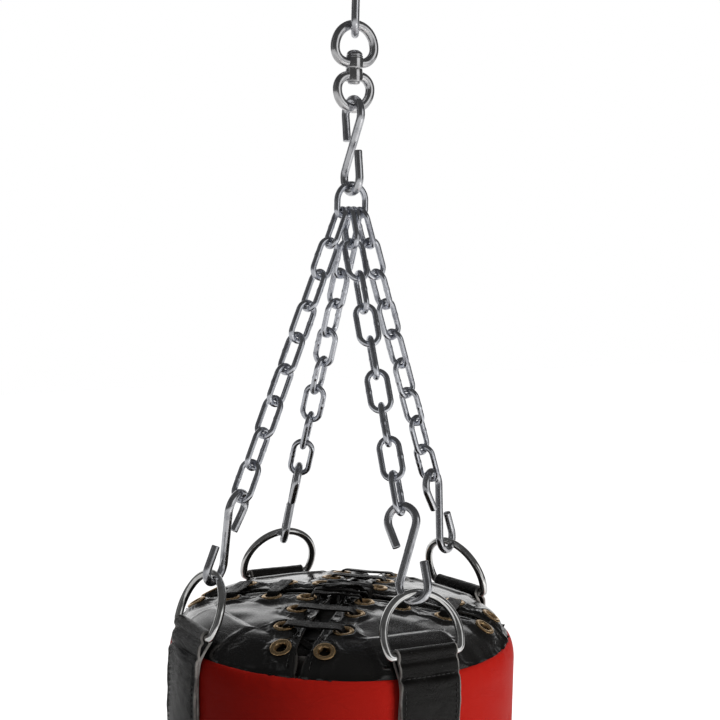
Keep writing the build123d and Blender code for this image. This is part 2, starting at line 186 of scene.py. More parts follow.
# Polished metal sees the white backdrop behind it, the tall soft window on its right, a dim
# reflector on its left and one overhead, and the dark studio between them. The window is dimmer
# towards its foot. Matt things get a soft bounce from all round, and the camera sees plain white.
soft_bounce = 0.06
window_seen, reflector_seen, overhead_seen = 0.85, 0.2, 0.04
backdrop_seen, studio_seen = 1.0, 0.07
world = bpy.data.worlds.new("studio")
scene.world = world
world.use_nodes = True
tree = world.node_tree
background = tree.nodes["Background"]
ray = node(tree, "ShaderNodeLightPath")
toward = node(tree, "ShaderNodeTexCoord").outputs["Generated"]
parts = node(tree, "ShaderNodeSeparateXYZ")
link(tree, toward, parts.inputs[0])
flat_unit = node(tree, "ShaderNodeVectorMath", operation="NORMALIZE")
link(tree, stretched(tree, toward, (1, 1, 0)), flat_unit.inputs[0])


def seen_straight(tree, ray):
    """1 for a ray from the camera, straight or through glass."""
    rays = (ray.outputs["Is Camera Ray"], ray.outputs["Is Transmission Ray"])
    return math(tree, "MAXIMUM", *rays)


def upright_strip(direction, half_width, softness, low, high):
    """1 inside a tall strip of the studio about a level direction, 0 outside, angles in degrees:
    the cosine of the level angle to the strip's middle, times a fade at its foot and its head,
    which are given as the upward part of a direction."""
    fade = 0.15
    facing = node(tree, "ShaderNodeVectorMath", operation="DOT_PRODUCT")
    link(tree, flat_unit.outputs[0], facing.inputs[0])
    facing.inputs[1].default_value = tuple(direction)
    outer, inner = np.cos(np.radians((half_width + softness, half_width - softness)))
    strip = spread(tree, facing.outputs["Value"], outer, inner)
    foot = spread(tree, parts.outputs["Z"], low - fade, low + fade)
    head = spread(tree, parts.outputs["Z"], high - fade, high + fade, 1, 0)
    return math(tree, "MULTIPLY", strip, math(tree, "MULTIPLY", foot, head))


backdrop = upright_strip(level(68), 38, 10, -0.3, 0.42)
window = upright_strip(level(-64), 20, 6, -0.75, 0.42)
window = math(tree, "MULTIPLY", window, spread(tree, parts.outputs["Z"], -0.3, 0.12, 0.62, 1))
reflector = upright_strip(level(-190), 8, 6, -0.6, 0.6)
overhead = spread(tree, parts.outputs["Z"], 0.7, 0.95)
glossy = math(tree, "MULTIPLY_ADD", backdrop, backdrop_seen - studio_seen, studio_seen)
for patch, strength in (
    (window, window_seen), (reflector, reflector_seen), (overhead, overhead_seen),
):
    glossy = math(tree, "MAXIMUM", glossy, math(tree, "MULTIPLY", patch, strength))
polished = math(tree, "MULTIPLY", ray.outputs["Is Glossy Ray"], glossy)
matt = math(tree, "SUBTRACT", 1, ray.outputs["Is Glossy Ray"])
light = math(tree, "MULTIPLY_ADD", matt, soft_bounce, polished)
feed_all(tree, background, Color=(1, 1, 1, 1),
         Strength=math(tree, "MAXIMUM", seen_straight(tree, ray), light))


def material(name):
    """A new node material: its tree, its Principled shader and its texture coordinates."""
    made = bpy.data.materials.new(name)
    made.use_nodes = True
    tree = made.node_tree
    where = node(tree, "ShaderNodeTexCoord").outputs
    return made, tree, tree.nodes["Principled BSDF"], where


def noise(tree, vector, scale, detail=2.0, roughness=0.5, distortion=0.0):
    """The value of a noise texture."""
    made = node(tree, "ShaderNodeTexNoise")
    return feed_all(tree, made, Vector=vector, Scale=scale, Detail=detail, Roughness=roughness,
                    Distortion=distortion)["Fac"]


# The floor glows white away from the bag, so that it meets the backdrop without an edge. Polished
# metal and leather see less of that glow than the camera does.
floor_drop, floor_half = 0.03, 9
glow_mirrored = 0.45
floor_mesh = bpy.data.meshes.new("floor")
floor_z = cad_bounds[0][2] - floor_drop
floor_mesh.from_pydata(
    [(x * floor_half, y * floor_half, floor_z) for x, y in ((-1, -1), (1, -1), (1, 1), (-1, 1))],
    [], [(0, 1, 2, 3)])
floor = bpy.data.objects.new("floor", floor_mesh)
bpy.context.collection.objects.link(floor)
floor_paint, tree, shader, where = material("pale_floor")
pale = blend(tree, noise(tree, None, 3), (0.83, 0.83, 0.83), (0.87, 0.87, 0.87))
ray = node(tree, "ShaderNodeLightPath")
distance = node(tree, "ShaderNodeVectorMath", operation="LENGTH")
link(tree, where["Object"], distance.inputs[0])
mirrored = math(tree, "MULTIPLY", ray.outputs["Is Glossy Ray"], glow_mirrored)
white = math(tree, "MAXIMUM", seen_straight(tree, ray), mirrored)
glow = spread(tree, distance.outputs["Value"], 1.8, 3.5, 0.3, 1.0)
feed_all(tree, shader, Base_Color=pale, Roughness=0.8, Emission_Color=(1, 1, 1, 1),
         Emission_Strength=math(tree, "MULTIPLY", white, glow))
floor_mesh.materials.append(floor_paint)


# ---- top hook, swivel and main hook ------------------------------------------------------------
# Bright zinc-plated steel wire, bent cold. The two hooks are S shapes cut off square, and the
# swivel is two welded eyes, the upper one turning on a rivet with a domed head and a washer.
hook_wire, hook_reach, hook_mouth, hook_tail = 0.007, 0.071, 0.018, 0.018
hanger_azimuth = 59
main_crimp, main_tail = 9, 0.021


def summed(steps):
    """Step lengths added up from nothing: the length at each point of a line."""
    return np.concatenate(((0,), np.cumsum(steps)))


def surface(name, points, finish, round_rows=False, round_columns=True, closed=True, marks=None):
    """A piece from a grid of points: shape (rows, columns, 3), or (copies, rows, columns, 3).
    Its UVs are lengths in metres, U round the columns and V along the rows. Marks are named
    values for each point. Rows that shrink to a point are merged to one, and the faces of a
    closed piece are turned outwards."""
    points = np.asarray(points, float)
    points = points[None] if points.ndim == 3 else points
    copies, rows, columns = points.shape[:3]
    i, j = np.meshgrid(
        np.arange(rows if round_rows else rows - 1),
        np.arange(columns if round_columns else columns - 1),
        indexing="ij",
    )
    corners = np.stack((i, i, i + 1, i + 1), -1), np.stack((j, j + 1, j + 1, j), -1)
    single = (corners[0] % rows) * columns + corners[1] % columns
    first = (np.arange(copies) * rows * columns)[:, None, None, None]
    quads = (single[None] + first).reshape(-1, 4)
    wrapped = np.concatenate((points, points[:, :1]), 1)
    wrapped = np.concatenate((wrapped, wrapped[:, :, :1]), 2)[0]
    along = summed(np.linalg.norm(np.diff(wrapped, axis=0), axis=-1).max(1))
    around = summed(np.linalg.norm(np.diff(wrapped, axis=1), axis=-1).max(0))
    uv = np.stack((around[corners[1]], along[corners[0]]), -1)
    uv = np.repeat(uv[None], copies, 0) + np.arange(copies)[:, None, None, None, None] * 0.37
    mesh = bpy.data.meshes.new(name)
    mesh.vertices.add(points.size // 3)
    mesh.vertices.foreach_set("co", points.reshape(-1))
    mesh.loops.add(quads.size)
    mesh.loops.foreach_set("vertex_index", quads.reshape(-1).astype(np.int32))
    mesh.polygons.add(len(quads))
    mesh.polygons.foreach_set("loop_start", np.arange(0, quads.size, 4, dtype=np.int32))
    mesh.uv_layers.new(name="lengths").data.foreach_set("uv", uv.reshape(-1))
    for label, values in (marks or {}).items():
        mark = mesh.attributes.new(label, "FLOAT", "POINT")
        mark.data.foreach_set("value", np.asarray(values, float).reshape(-1))
    mesh.update(calc_edges=True)
    shell = bmesh.new()
    shell.from_mesh(mesh)
    bmesh.ops.remove_doubles(shell, verts=shell.verts, dist=1e-7)
    if closed:
        bmesh.ops.recalc_face_normals(shell, faces=shell.faces)
    shell.to_mesh(mesh)
    shell.free()
    mesh.shade_smooth()
    mesh.materials.append(finish)
    piece = bpy.data.objects.new(name, mesh)
    bpy.context.collection.objects.link(piece)
    return piece


def arc(centre, radius, start, sweep, count):
    """Points round an arc in a plane, angles in degrees, the last one left out."""
    turn = np.radians(start + sweep * np.arange(count) / count)
    return np.column_stack((centre[0] + radius * np.cos(turn), centre[1] + radius * np.sin(turn)))


def run(start, end, count):
    """Points along a straight run, the last one left out."""
    share = (np.arange(count) / count)[:, None]
    return np.asarray(start) * (1 - share) + np.asarray(end) * share


def laid(line, origin, x_axis, y_axis):
    """A flat line's points placed in space: origin + x times one axis + y times the other."""
    return np.asarray(origin) + line[:, :1] * np.asarray(x_axis) + line[:, 1:] * np.asarray(y_axis)


def full_turn(sides):
    """Angles evenly round a circle, in radians."""
    return np.linspace(0, 2 * np.pi, sides, endpoint=False)


def wire(line, normal, radius, sides, closed):
    """A round wire along a flat line: at each point a circle in the plane of the normal and of
    the line's own left-hand side, its radius one number or one for each point."""
    if closed:
        tangent = unit(np.roll(line, -1, 0) - np.roll(line, 1, 0))
    else:
        tangent = unit(np.gradient(line, axis=0))
    left = np.cross(normal, tangent)
    turn = full_turn(sides)
    circle = left[:, None] * np.cos(turn)[:, None] + np.asarray(normal) * np.sin(turn)[:, None]
    radius = np.broadcast_to(radius, len(line))[:, None, None]
    return line[:, None] + circle * radius


def cut_ends(line, radius, chamfer=0.0007):
    """A wire's line and radii with each end closed: a small chamfer, then a flat cut face."""
    first, last = unit(line[1] - line[0]), unit(line[-2] - line[-1])
    steps = np.array((0, 0.01, 0.25, 1))[:, None] * chamfer
    start = line[0] + first * steps
    end = line[-1] + last * steps[::-1]
    shrink = np.array((0, 1 - chamfer / radius, 1 - 0.35 * chamfer / radius, 1)) * radius
    inner = np.linalg.norm(line - line[0], axis=1) > chamfer * 1.5
    inner &= np.linalg.norm(line - line[-1], axis=1) > chamfer * 1.5
    radii = np.concatenate((shrink, np.full(inner.sum(), radius), shrink[::-1]))
    return np.concatenate((start, line[inner], end)), radii


def s_hook(name, crown, across, down, finish, crimp=0, foot_crimp=0, tail=hook_tail):
    """An S-hook: a straight tail, half a turn over the crown, a slanting shank, half a turn the
    other way and a second tail, all in one plane. The crimps are the angles its ends close by."""
    bend = (hook_mouth + hook_wire) / 2
    upper, lower = -hook_mouth / 2, -hook_reach + hook_mouth / 2
    slant = np.degrees(np.arctan2(2 * bend, np.sqrt((upper - lower) ** 2 - 4 * bend ** 2)))
    top = arc((0, upper), bend, -crimp, 180 + slant + crimp, 40)
    closing, foot = np.radians((crimp, foot_crimp))
    free = top[0] - tail * np.array((np.sin(closing), np.cos(closing)))
    bottom = arc((0, lower), bend, slant, -180 - slant - foot_crimp, 40)
    toe = np.array((-bend * np.cos(foot), lower + bend * np.sin(foot)))
    toe_end = toe + tail * np.array((np.sin(foot), np.cos(foot)))
    shank = run(arc((0, upper), bend, 180 + slant, 1, 1)[0], bottom[0], 24)
    flat = np.concatenate((
        run(free, top[0], 16), top, shank, bottom, run(toe, toe_end, 16), (toe_end,),
    ))
    up = -np.asarray(down)
    line, radii = cut_ends(laid(flat, crown, across, up), hook_wire / 2)
    return surface(name, wire(line, np.cross(across, up), radii, 20, False), finish)


def group(name, inputs, outputs):
    """A new shader node group that puts out values: its tree, its input node and output node."""
    made = bpy.data.node_groups.new(name, "ShaderNodeTree")
    for label, kind in inputs.items():
        made.interface.new_socket(label, in_out="INPUT", socket_type=f"NodeSocket{kind}")
    for label in outputs:
        made.interface.new_socket(label, in_out="OUTPUT", socket_type="NodeSocketFloat")
    return made, made.nodes.new("NodeGroupInput"), made.nodes.new("NodeGroupOutput")


def relief(tree, height, depth):
    """Fine relief on a finish: the normal from a height and a depth in metres."""
    return feed_all(tree, node(tree, "ShaderNodeBump"), Height=height, Distance=depth)["Normal"]


# Drawn wire keeps fine lines along its length, shallow dents from handling, and dull patches
# where the plating has oxidised.
drawn_steel, entry, leave = group(
    "drawn_steel", {"Lengths": "Vector", "Place": "Vector"}, ("Height", "Dull", "Lines"))
lines = noise(drawn_steel, stretched(drawn_steel, entry.outputs["Lengths"], (2600, 90, 1)), 1, 3)
dents = noise(drawn_steel, entry.outputs["Place"], 260, 2)
patches = noise(drawn_steel, entry.outputs["Place"], 95, 4, 0.6)
height = math(drawn_steel, "ADD", math(drawn_steel, "MULTIPLY", lines, 0.25), dents)
dull = spread(drawn_steel, patches, 0.45, 0.7)
feed_all(drawn_steel, leave, Height=height, Dull=dull, Lines=lines)


def steel(name, colour, dull_colour, roughness, dull_roughness, dent):
    """Plated steel wire: bright, with dull patches, drawing lines and shallow dents."""
    made, tree, shader, where = material(name)
    marks = feed_all(tree, node(tree, "ShaderNodeGroup", node_tree=drawn_steel),
                     Lengths=where["UV"], Place=where["Object"])
    rough = spread(tree, marks["Dull"], 0, 1, roughness, dull_roughness)
    rough = math(tree, "ADD", rough, spread(tree, marks["Lines"], 0.3, 0.8, 0, 0.05))
    feed_all(tree, shader, Base_Color=blend(tree, marks["Dull"], colour, dull_colour),
             Roughness=rough, Metallic=1, Normal=relief(tree, marks["Height"], dent))
    return made


hook_steel = steel("hook_steel", (0.70, 0.71, 0.74), (0.47, 0.48, 0.51), 0.19, 0.32, 0.00003)
swivel_steel = steel("swivel_steel", (0.69, 0.69, 0.70), (0.48, 0.48, 0.50), 0.16, 0.27, 0.00003)

hanger_hook = s_hook("hanger_hook_wire", (0, 0, 0), level(hanger_azimuth), -upright, hook_steel)
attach(hanger_hook, "hanger")
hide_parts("hanger_hook")
main_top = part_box("main_hook")[1][2] - hook_wire
main_hook = s_hook("main_hook_wire", (0, 0, main_top), (0, 1, 0), -upright, hook_steel,
                   main_crimp, main_crimp, main_tail)
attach(main_hook, "bag")
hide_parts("main_hook")


def bent_line(top, width, height, upper_corner, lower_corner):
    """A ring's centre-line in the XZ plane from its top middle down: four quarter bends joined
    by straight runs, as points of equal count to each bend."""
    half = width / 2
    corners = (
        (half - upper_corner, -upper_corner, upper_corner, 0),
        (upper_corner - half, -upper_corner, upper_corner, 90),
        (lower_corner - half, lower_corner - height, lower_corner, 180),
        (half - lower_corner, lower_corner - height, lower_corner, 270),
    )
    bends = [arc((x, z), radius, start, 90, 16) for x, z, radius, start in corners]
    ends = [arc((x, z), radius, start + 90, 1, 1)[0] for x, z, radius, start in corners]
    parts = []
    for bend, end, following in zip(bends, ends, bends[1:] + bends[:1]):
        gap = np.linalg.norm(following[0] - end)
        straight = [] if gap < 1e-5 else [run(end, following[0], max(2, int(gap / 0.0012)))]
        parts += [bend] + straight
    return laid(np.concatenate(parts), (0, 0, top), (1, 0, 0), (0, 0, 1))


def polar(reach, azimuth, z):
    """Points at a reach and an azimuth, in radians, about the upright axis, and at a height."""
    places = np.broadcast_arrays(reach * np.cos(azimuth), reach * np.sin(azimuth), z)
    return np.stack(places, -1)


def lathe(name, profile, finish):
    """A turned piece: a profile of (radius, height) points carried round the upright axis."""
    profile = np.asarray(profile, float)
    return surface(name, polar(profile[:, :1], full_turn(48), profile[:, 1:]), finish)


def rounded(profile, radius, count=4):
    """A profile with each inner corner replaced by a curve: Bezier weights (1-t)^2, 2t(1-t) and
    t^2 of a point before the corner, the corner, and a point after it."""
    profile = np.asarray(profile, float)
    before, corner, after = profile[:-2], profile[1:-1], profile[2:]
    cut = np.minimum(radius, 0.45 * np.linalg.norm(before - corner, axis=1))[:, None]
    cut_after = np.minimum(radius, 0.45 * np.linalg.norm(after - corner, axis=1))[:, None]
    first = corner + unit(before - corner) * cut
    last = corner + unit(after - corner) * cut_after
    t = np.linspace(0, 1, count)[:, None]
    first, corner, last = (points[:, None] for points in (first, corner, last))
    curve = (1 - t) ** 2 * first + 2 * t * (1 - t) * corner + t ** 2 * last
    return np.concatenate((profile[:1], curve.reshape(-1, 2), profile[-1:]))


def welded_ring(name, top, sizes, thick, sides, finish):
    """A ring of round wire along a bent line, closed on itself."""
    line = bent_line(top, *sizes)
    return surface(name, wire(line, (0, 1, 0), thick / 2, sides, True), finish, round_rows=True)


def sleeve(bore, radius, low, high):
    """The profile of a turned ring: up its outside and down its bore, closed."""
    return (bore, low), (radius, low), (radius, high), (bore, high), (bore, low)


# Each eye: its centre-line's width and height, then its corners' radii above and below.
swivel_wire, boss_radius, boss_height, boss_round = 0.008, 0.0075, 0.009, 0.0009
upper_eye, lower_eye = (0.038, 0.0315, 0.019, 0.012), (0.032, 0.027, 0.011, 0.016)
eye_drop, collar_foot = 0.0064, 0.0046
rivet_radius, rivet_head, head_edge, foot_radius = 0.0036, 0.0068, 0.001, 0.0053
boss_bore, washer_bore, washer_radius, washer_round = 0.00365, 0.0037, 0.0072, 0.0003
upper_box, lower_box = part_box("swivel_upper_ring"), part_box("swivel_lower_ring")
pin_box, washer_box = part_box("swivel_pin"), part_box("swivel_washer")
boss_bottom, collar_top = upper_box[0][2], lower_box[1][2]
lower_top = collar_top - eye_drop
collar_bottom = lower_top - collar_foot
pin_bottom, head_top, head_bottom = pin_box[0][2], pin_box[1][2], washer_box[1][2]
upper_ring = welded_ring("swivel_upper_eye", upper_box[1][2] - swivel_wire / 2, upper_eye,
                         swivel_wire, 24, swivel_steel)
upper_boss = lathe("swivel_upper_boss", rounded(sleeve(
    boss_bore, boss_radius, boss_bottom, boss_bottom + boss_height), boss_round), swivel_steel)
lower_ring = welded_ring("swivel_lower_eye", lower_top, lower_eye, swivel_wire, 24, swivel_steel)
lower_boss = lathe("swivel_lower_boss", rounded((
    (0, collar_top - 0.0002), (boss_radius - 0.0004, collar_top - 0.0002),
    (boss_radius, lower_top + 0.001), (boss_radius, collar_bottom), (0, collar_bottom),
), boss_round), swivel_steel)
rise = np.linspace(0, np.pi / 2, 12)
head = np.column_stack((rivet_head * np.sin(rise), head_bottom + head_edge
                        + (head_top - head_bottom - head_edge) * np.cos(rise)))
pin = lathe("swivel_rivet", np.concatenate((head, (
    (rivet_head - 0.0002, head_bottom + 0.0002), (rivet_radius, head_bottom),
    (rivet_radius, collar_bottom), (foot_radius, collar_bottom - 0.0002),
    (foot_radius - 0.0004, pin_bottom + 0.0007), (0.003, pin_bottom), (0, pin_bottom),
))), swivel_steel)
washer = lathe("swivel_washer_disc", rounded(sleeve(
    washer_bore, washer_radius, washer_box[0][2], head_bottom), washer_round), swivel_steel)
for piece, body, cad in (
    (upper_ring, "upper_ring", "swivel_upper_ring"),
    (upper_boss, "upper_ring", None),
    (lower_ring, "lower_ring", "swivel_lower_ring"),
    (lower_boss, "lower_ring", None),
    (pin, "lower_ring", "swivel_pin"),
    (washer, "lower_ring", "swivel_washer"),
):
    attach(piece, body)
    if cad:
        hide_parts(cad)


# ---- collector ring ----------------------------------------------------------------------------
# A pear-shaped welded ring of 5.5 mm zinc-plated wire. It hangs in the main hook, and the first
# link of each chain sits on its straight lower bar.
collector_wire = 0.0055
collector_sizes = (0.0275, 0.0265, 0.01375, 0.0055)
chain_steel = steel("chain_steel", (0.70, 0.72, 0.77), (0.46, 0.47, 0.52), 0.20, 0.34, 0.00006)
collector_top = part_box("collector_ring")[1][2] - collector_wire / 2
collector = welded_ring("collector_ring_wire", collector_top, collector_sizes, collector_wire, 20,
                        chain_steel)
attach(collector, "bag")
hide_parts("collector_ring")


# ---- chains, S-hooks and D-rings ---------------------------------------------------------------
# Each leg is nine electric-welded links, an S-hook, and a chromed D-ring. A link turns a little
# more than a quarter from the one above, so that the chain lies twisted down to its hook.
link_wire, link_length, link_width, link_count = 0.005, 0.0287, 0.0215, 9
ring_wire, ring_radius, ring_bar, ring_corner = 0.007, 0.0348, 0.064, 0.005
body_gap, weld_length, weld_lump = 0.0003, 0.0011, 0.13
hook_crimp = 12
# The D-ring's shown wire is this much slimmer all round, so that it clears its hook when tilted.
ring_play = 0.0001
# Each leg's side of the bag, with the azimuth of its D-ring and the azimuth its hook is turned to.
legs = {"front": (-93, 122), "left": (179, 32), "back": (86, 242), "right": (9, 209)}
joints = {joint["name"]: joint for joint in frame["joints"]}
ring_rise = np.sqrt(ring_radius ** 2 - (ring_bar / 2) ** 2)
ring_reach = ring_rise + ring_radius - ring_wire / 2


def square_to(across, direction):
    """The part of one direction that is square to another, at length one."""
    across = np.asarray(across, float)
    return unit(across - direction * np.dot(across, direction))


def link_chain(name, start, direction, pitch, twist):
    """Links as stadium-shaped rings: for each one a flat line of two runs and two half turns,
    laid in the plane of its turned cross direction, with a weld lump half-way along one side."""
    bend = (link_width - link_wire) / 2
    side = link_length / 2 - bend + link_wire / 2
    flat = np.concatenate((
        run((bend, -side), (bend, side), 14),
        arc((0, side), bend, 0, 180, 22),
        run((-bend, side), (-bend, -side), 14),
        arc((0, -side), bend, 180, 180, 22),
    ))
    weld = np.exp(-((flat[:, 1] - 0.0006) / weld_length) ** 2) * (flat[:, 0] > bend * 0.9)
    radius = link_wire / 2 * (1 + weld_lump * weld)
    across = square_to((0, 1, 0), direction)
    other = np.cross(-direction, across)
    rings = []
    for number in range(link_count):
        turn = np.radians(number * (90 + twist))
        x_axis = across * np.cos(turn) + other * np.sin(turn)
        middle = start + direction * (number * pitch + link_length / 2)
        line = laid(flat, middle, x_axis, -direction)
        rings.append(wire(line, np.cross(x_axis, -direction), radius, 18, True))
    return surface(name, np.array(rings), chain_steel, round_rows=True)


def d_ring(name, bar, across, direction, finish):
    """A bow and a bar as one closed line: an arc about a centre above the bar, two tight corner
    bends, and the straight bar, with a weld lump in the middle of the bar."""
    half = np.sqrt((ring_radius - ring_corner) ** 2 - (ring_rise - ring_corner) ** 2)
    lean = np.degrees(np.arctan2(ring_corner - ring_rise, half))
    flat = np.concatenate((
        run((-half, 0), (half, 0), 28),
        arc((half, ring_corner), ring_corner, -90, 90 + lean, 12),
        arc((0, ring_rise), ring_radius, lean, 180 - 2 * lean, 110),
        arc((-half, ring_corner), ring_corner, 180 - lean, 90 + lean, 12),
    ))
    line = laid(flat, bar, across, -direction)
    weld = np.exp(-(flat[:, 0] / 0.0015) ** 2) * (np.abs(flat[:, 1]) < 1e-6)
    radius = (ring_wire / 2 - ring_play) * (1 + 0.04 * weld)
    return surface(name, wire(line, np.cross(across, -direction), radius, 22, True), finish,
                   round_rows=True)


ring_chrome = steel("ring_chrome", (0.84, 0.84, 0.83), (0.60, 0.60, 0.59), 0.07, 0.16, 0.00004)
for side, (azimuth, hook_azimuth) in legs.items():
    twist_joint, tilt_joint = joints[f"leg_{side}_twist"], joints[f"d_ring_{side}_tilt"]
    crown, direction = np.array(twist_joint["pos_m"]), -unit(twist_joint["axis"])
    bar, across = np.array(tilt_joint["pos_m"]), unit(tilt_joint["axis"])
    start = crown + direction * link_wire / 2
    below = hook_reach - body_gap + ring_reach
    pitch = (np.linalg.norm(bar - start) - below) / link_count
    twist = ((hook_azimuth + 90) % 180 - 90) / link_count
    chain = link_chain(f"chain_{side}_links", start, direction, pitch, twist)
    hook_crown = start + direction * link_count * pitch
    hook = s_hook(f"hook_{side}_wire", hook_crown, square_to(level(hook_azimuth), direction),
                  direction, hook_steel, hook_crimp)
    ring = d_ring(f"d_ring_{side}_wire", bar, across, direction, ring_chrome)
    for piece, cad, body, slot in (
        (chain, f"chain_{side}", f"leg_{side}", "chain_steel"),
        (hook, f"hook_{side}", f"leg_{side}", "hook_steel"),
        (ring, f"d_ring_{side}", f"ring_{side}", "polished_steel"),
    ):
        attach(piece, body)
        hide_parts(cad)


# ---- the bag's shape, shared by its pieces -----------------------------------------------------
# A cylinder with a rounded shoulder under a shallow dome. The two leather skins meet in a seam
# on the shoulder, and the top is cut in four flaps by the slits of a cross.
shoulder_radius, dome_radius, seam_angle = 0.042, 0.650, 25.5
bag_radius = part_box("side_cover")[1][0]
bag_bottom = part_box("bottom_panel")[0][2]
bottom_corner = 0.014
bottom_seam = bag_bottom + bottom_corner
shoulder_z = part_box("foam_lining")[1][2]
shoulder_reach = bag_radius - shoulder_radius
dome_z = shoulder_z - np.sqrt((dome_radius - shoulder_radius) ** 2 - shoulder_reach ** 2)
crest_reach = shoulder_reach * (1 + shoulder_radius / (dome_radius - shoulder_radius))
seam_reach = shoulder_reach + shoulder_radius * np.cos(np.radians(seam_angle))
strap_width, strap_layer, strap_length = 0.055, 0.0024, 0.210
flap_azimuths = {"front": -90, "left": 180, "back": 90, "right": 0}
tip_eyelet, eyelet_places = 0.036, ((0.057, 0.025), (0.095, 0.025), (0.128, 0.018))


def top_face(reach):
    """The top's face at a distance from the axis: its height, and its normal's outward and
    upward parts, on the dome's circle or on the shoulder's."""
    on_dome = reach < crest_reach
    radius = np.where(on_dome, dome_radius, shoulder_radius)
    out = (reach - np.where(on_dome, 0, shoulder_reach)) / radius
    rise = np.sqrt(1 - out ** 2)
    return np.where(on_dome, dome_z, shoulder_z) + radius * rise, out, rise


def on_top(reach, azimuth, lift):
    """Points on the top at a distance from the axis, an azimuth in radians, and a lift."""
    height, out, rise = top_face(reach)
    return polar(reach + out * lift, azimuth, height + rise * lift)


def waves(places, length, seed, count=16):
    """A smooth random value at each place: sine waves of about one length, each with a direction
    and a phase of its own, added up and divided by the square root of their count."""
    rng = np.random.default_rng(seed)
    ways = unit(rng.normal(size=(count, places.shape[-1]))) / rng.uniform(0.7, 1.5, (count, 1))
    phases = rng.uniform(0, 2 * np.pi, count)
    return np.sin(places @ ways.T * 2 * np.pi / length + phases).sum(-1) / np.sqrt(count)


def bell(distance, width):
    """A smooth hump: e to the power of minus the square of distance over width."""
    return np.exp(-(distance / width) ** 2)


def ease(value, low, high):
    """0 below low, 1 above high, and 3t^2 - 2t^3 between them."""
    t = np.clip((value - low) / (high - low), 0, 1)
    return t * t * (3 - 2 * t)


def puckers(ring, away, sizes, seed, gather_from, fades):
    """Puckers beside a seam: two sizes of wave round the bag, gathered where a third one is high,
    times a fade that rises from nothing at the seam and dies away from it."""
    folds = waves(ring, sizes[0], seed) + 0.6 * waves(ring, sizes[1], seed + 1)
    gather = ease(waves(ring, sizes[2], seed + 2), gather_from, 0.9)
    return gather * folds * np.exp(-away / fades[0]) * (1 - np.exp(-away / fades[1]))


def under_strap(x, y, margin=0.003, reaches=(0.100, 0.119)):
    """1 where a strap lies over the skin, 0 beside it, from plan positions: the strap's width and
    a margin each side, from the reach where it comes down to the skin."""
    cover = np.zeros(np.shape(x))
    for azimuth, _ in legs.values():
        out = level(azimuth)
        along = x * out[0] + y * out[1]
        across = np.abs(y * out[0] - x * out[1])
        strap = ease(along, *reaches)
        strap = strap * ease(across, strap_width / 2 + 5 * margin, strap_width / 2 + margin)
        cover = np.maximum(cover, strap)
    return cover


def pressed(lift, covered, sink, ceiling):
    """A lift pressed down where a strap covers the skin: sunk, and held under a ceiling."""
    under = lift * (1 - covered) + np.minimum(lift - sink, ceiling) * covered
    return np.where(covered > 0, under, lift)


def beside_slit(azimuth, reach, offset):
    """A place on the top beside a slit: its point, the way along the slit and the normal."""
    out = level(azimuth)
    place = out * reach + np.cross(upright, out) * offset
    distance = np.linalg.norm(place)
    height, outward_part, rise = (float(part) for part in top_face(distance))
    normal = unit(place) * outward_part + upright * rise
    return place + upright * height, unit(out - normal * np.dot(out, normal)), normal


def flap_eyelets(azimuth):
    """The places of one flap's eyelets: one at its tip, and a row beside each of its slits."""
    places = [beside_slit(azimuth, tip_eyelet, 0)]
    for slit, side in ((azimuth - 45, 1), (azimuth + 45, -1)):
        places += [beside_slit(slit, reach, side * offset) for reach, offset in eyelet_places]
    return places


def leather_group(name, fine, coarse):
    """A node group for coated leather: a pebble grain, long creases and rubbed patches."""
    made, entry, leave = group(
        name, {"Place": "Vector", "Strain": "Float"}, ("Height", "Rubbed", "Tone"))
    place, wander = entry.outputs["Place"], 0.0012
    swirl = feed_all(made, node(made, "ShaderNodeTexNoise"), Vector=place, Scale=fine / 2)
    bent = node(made, "ShaderNodeVectorMath", operation="MULTIPLY_ADD")
    for socket, value in zip(bent.inputs, (swirl["Color"], (wander,) * 3, place)):
        feed(made, socket, value)
    cells = feed_all(made, node(made, "ShaderNodeTexVoronoi", feature="DISTANCE_TO_EDGE"),
                     Vector=bent.outputs[0], Scale=fine)
    pebbles = spread(made, cells["Distance"], 0.0, 0.22)
    folds = noise(made, stretched(made, place, (1, 1, 2.2)), coarse, 4, 0.55, 0.6)
    creases = spread(made, math(made, "ABSOLUTE", math(made, "SUBTRACT", folds, 0.5)), 0.0, 0.05)
    strained = math(made, "MULTIPLY_ADD", entry.outputs["Strain"], 0.6, 0.25)
    height = math(made, "MULTIPLY_ADD", creases, strained, math(made, "MULTIPLY", pebbles, 0.22))
    soft = math(made, "MULTIPLY", noise(made, place, coarse * 0.7, 3), 0.9)
    feed_all(made, leave, Height=math(made, "ADD", height, soft),
             Rubbed=spread(made, noise(made, place, coarse * 1.3, 5, 0.62), 0.5, 0.72),
             Tone=noise(made, place, coarse * 0.3, 2))
    return made


def mark(tree, name):
    """The value that a surface's points carry under a name."""
    return node(tree, "ShaderNodeAttribute", attribute_name=name).outputs["Fac"]


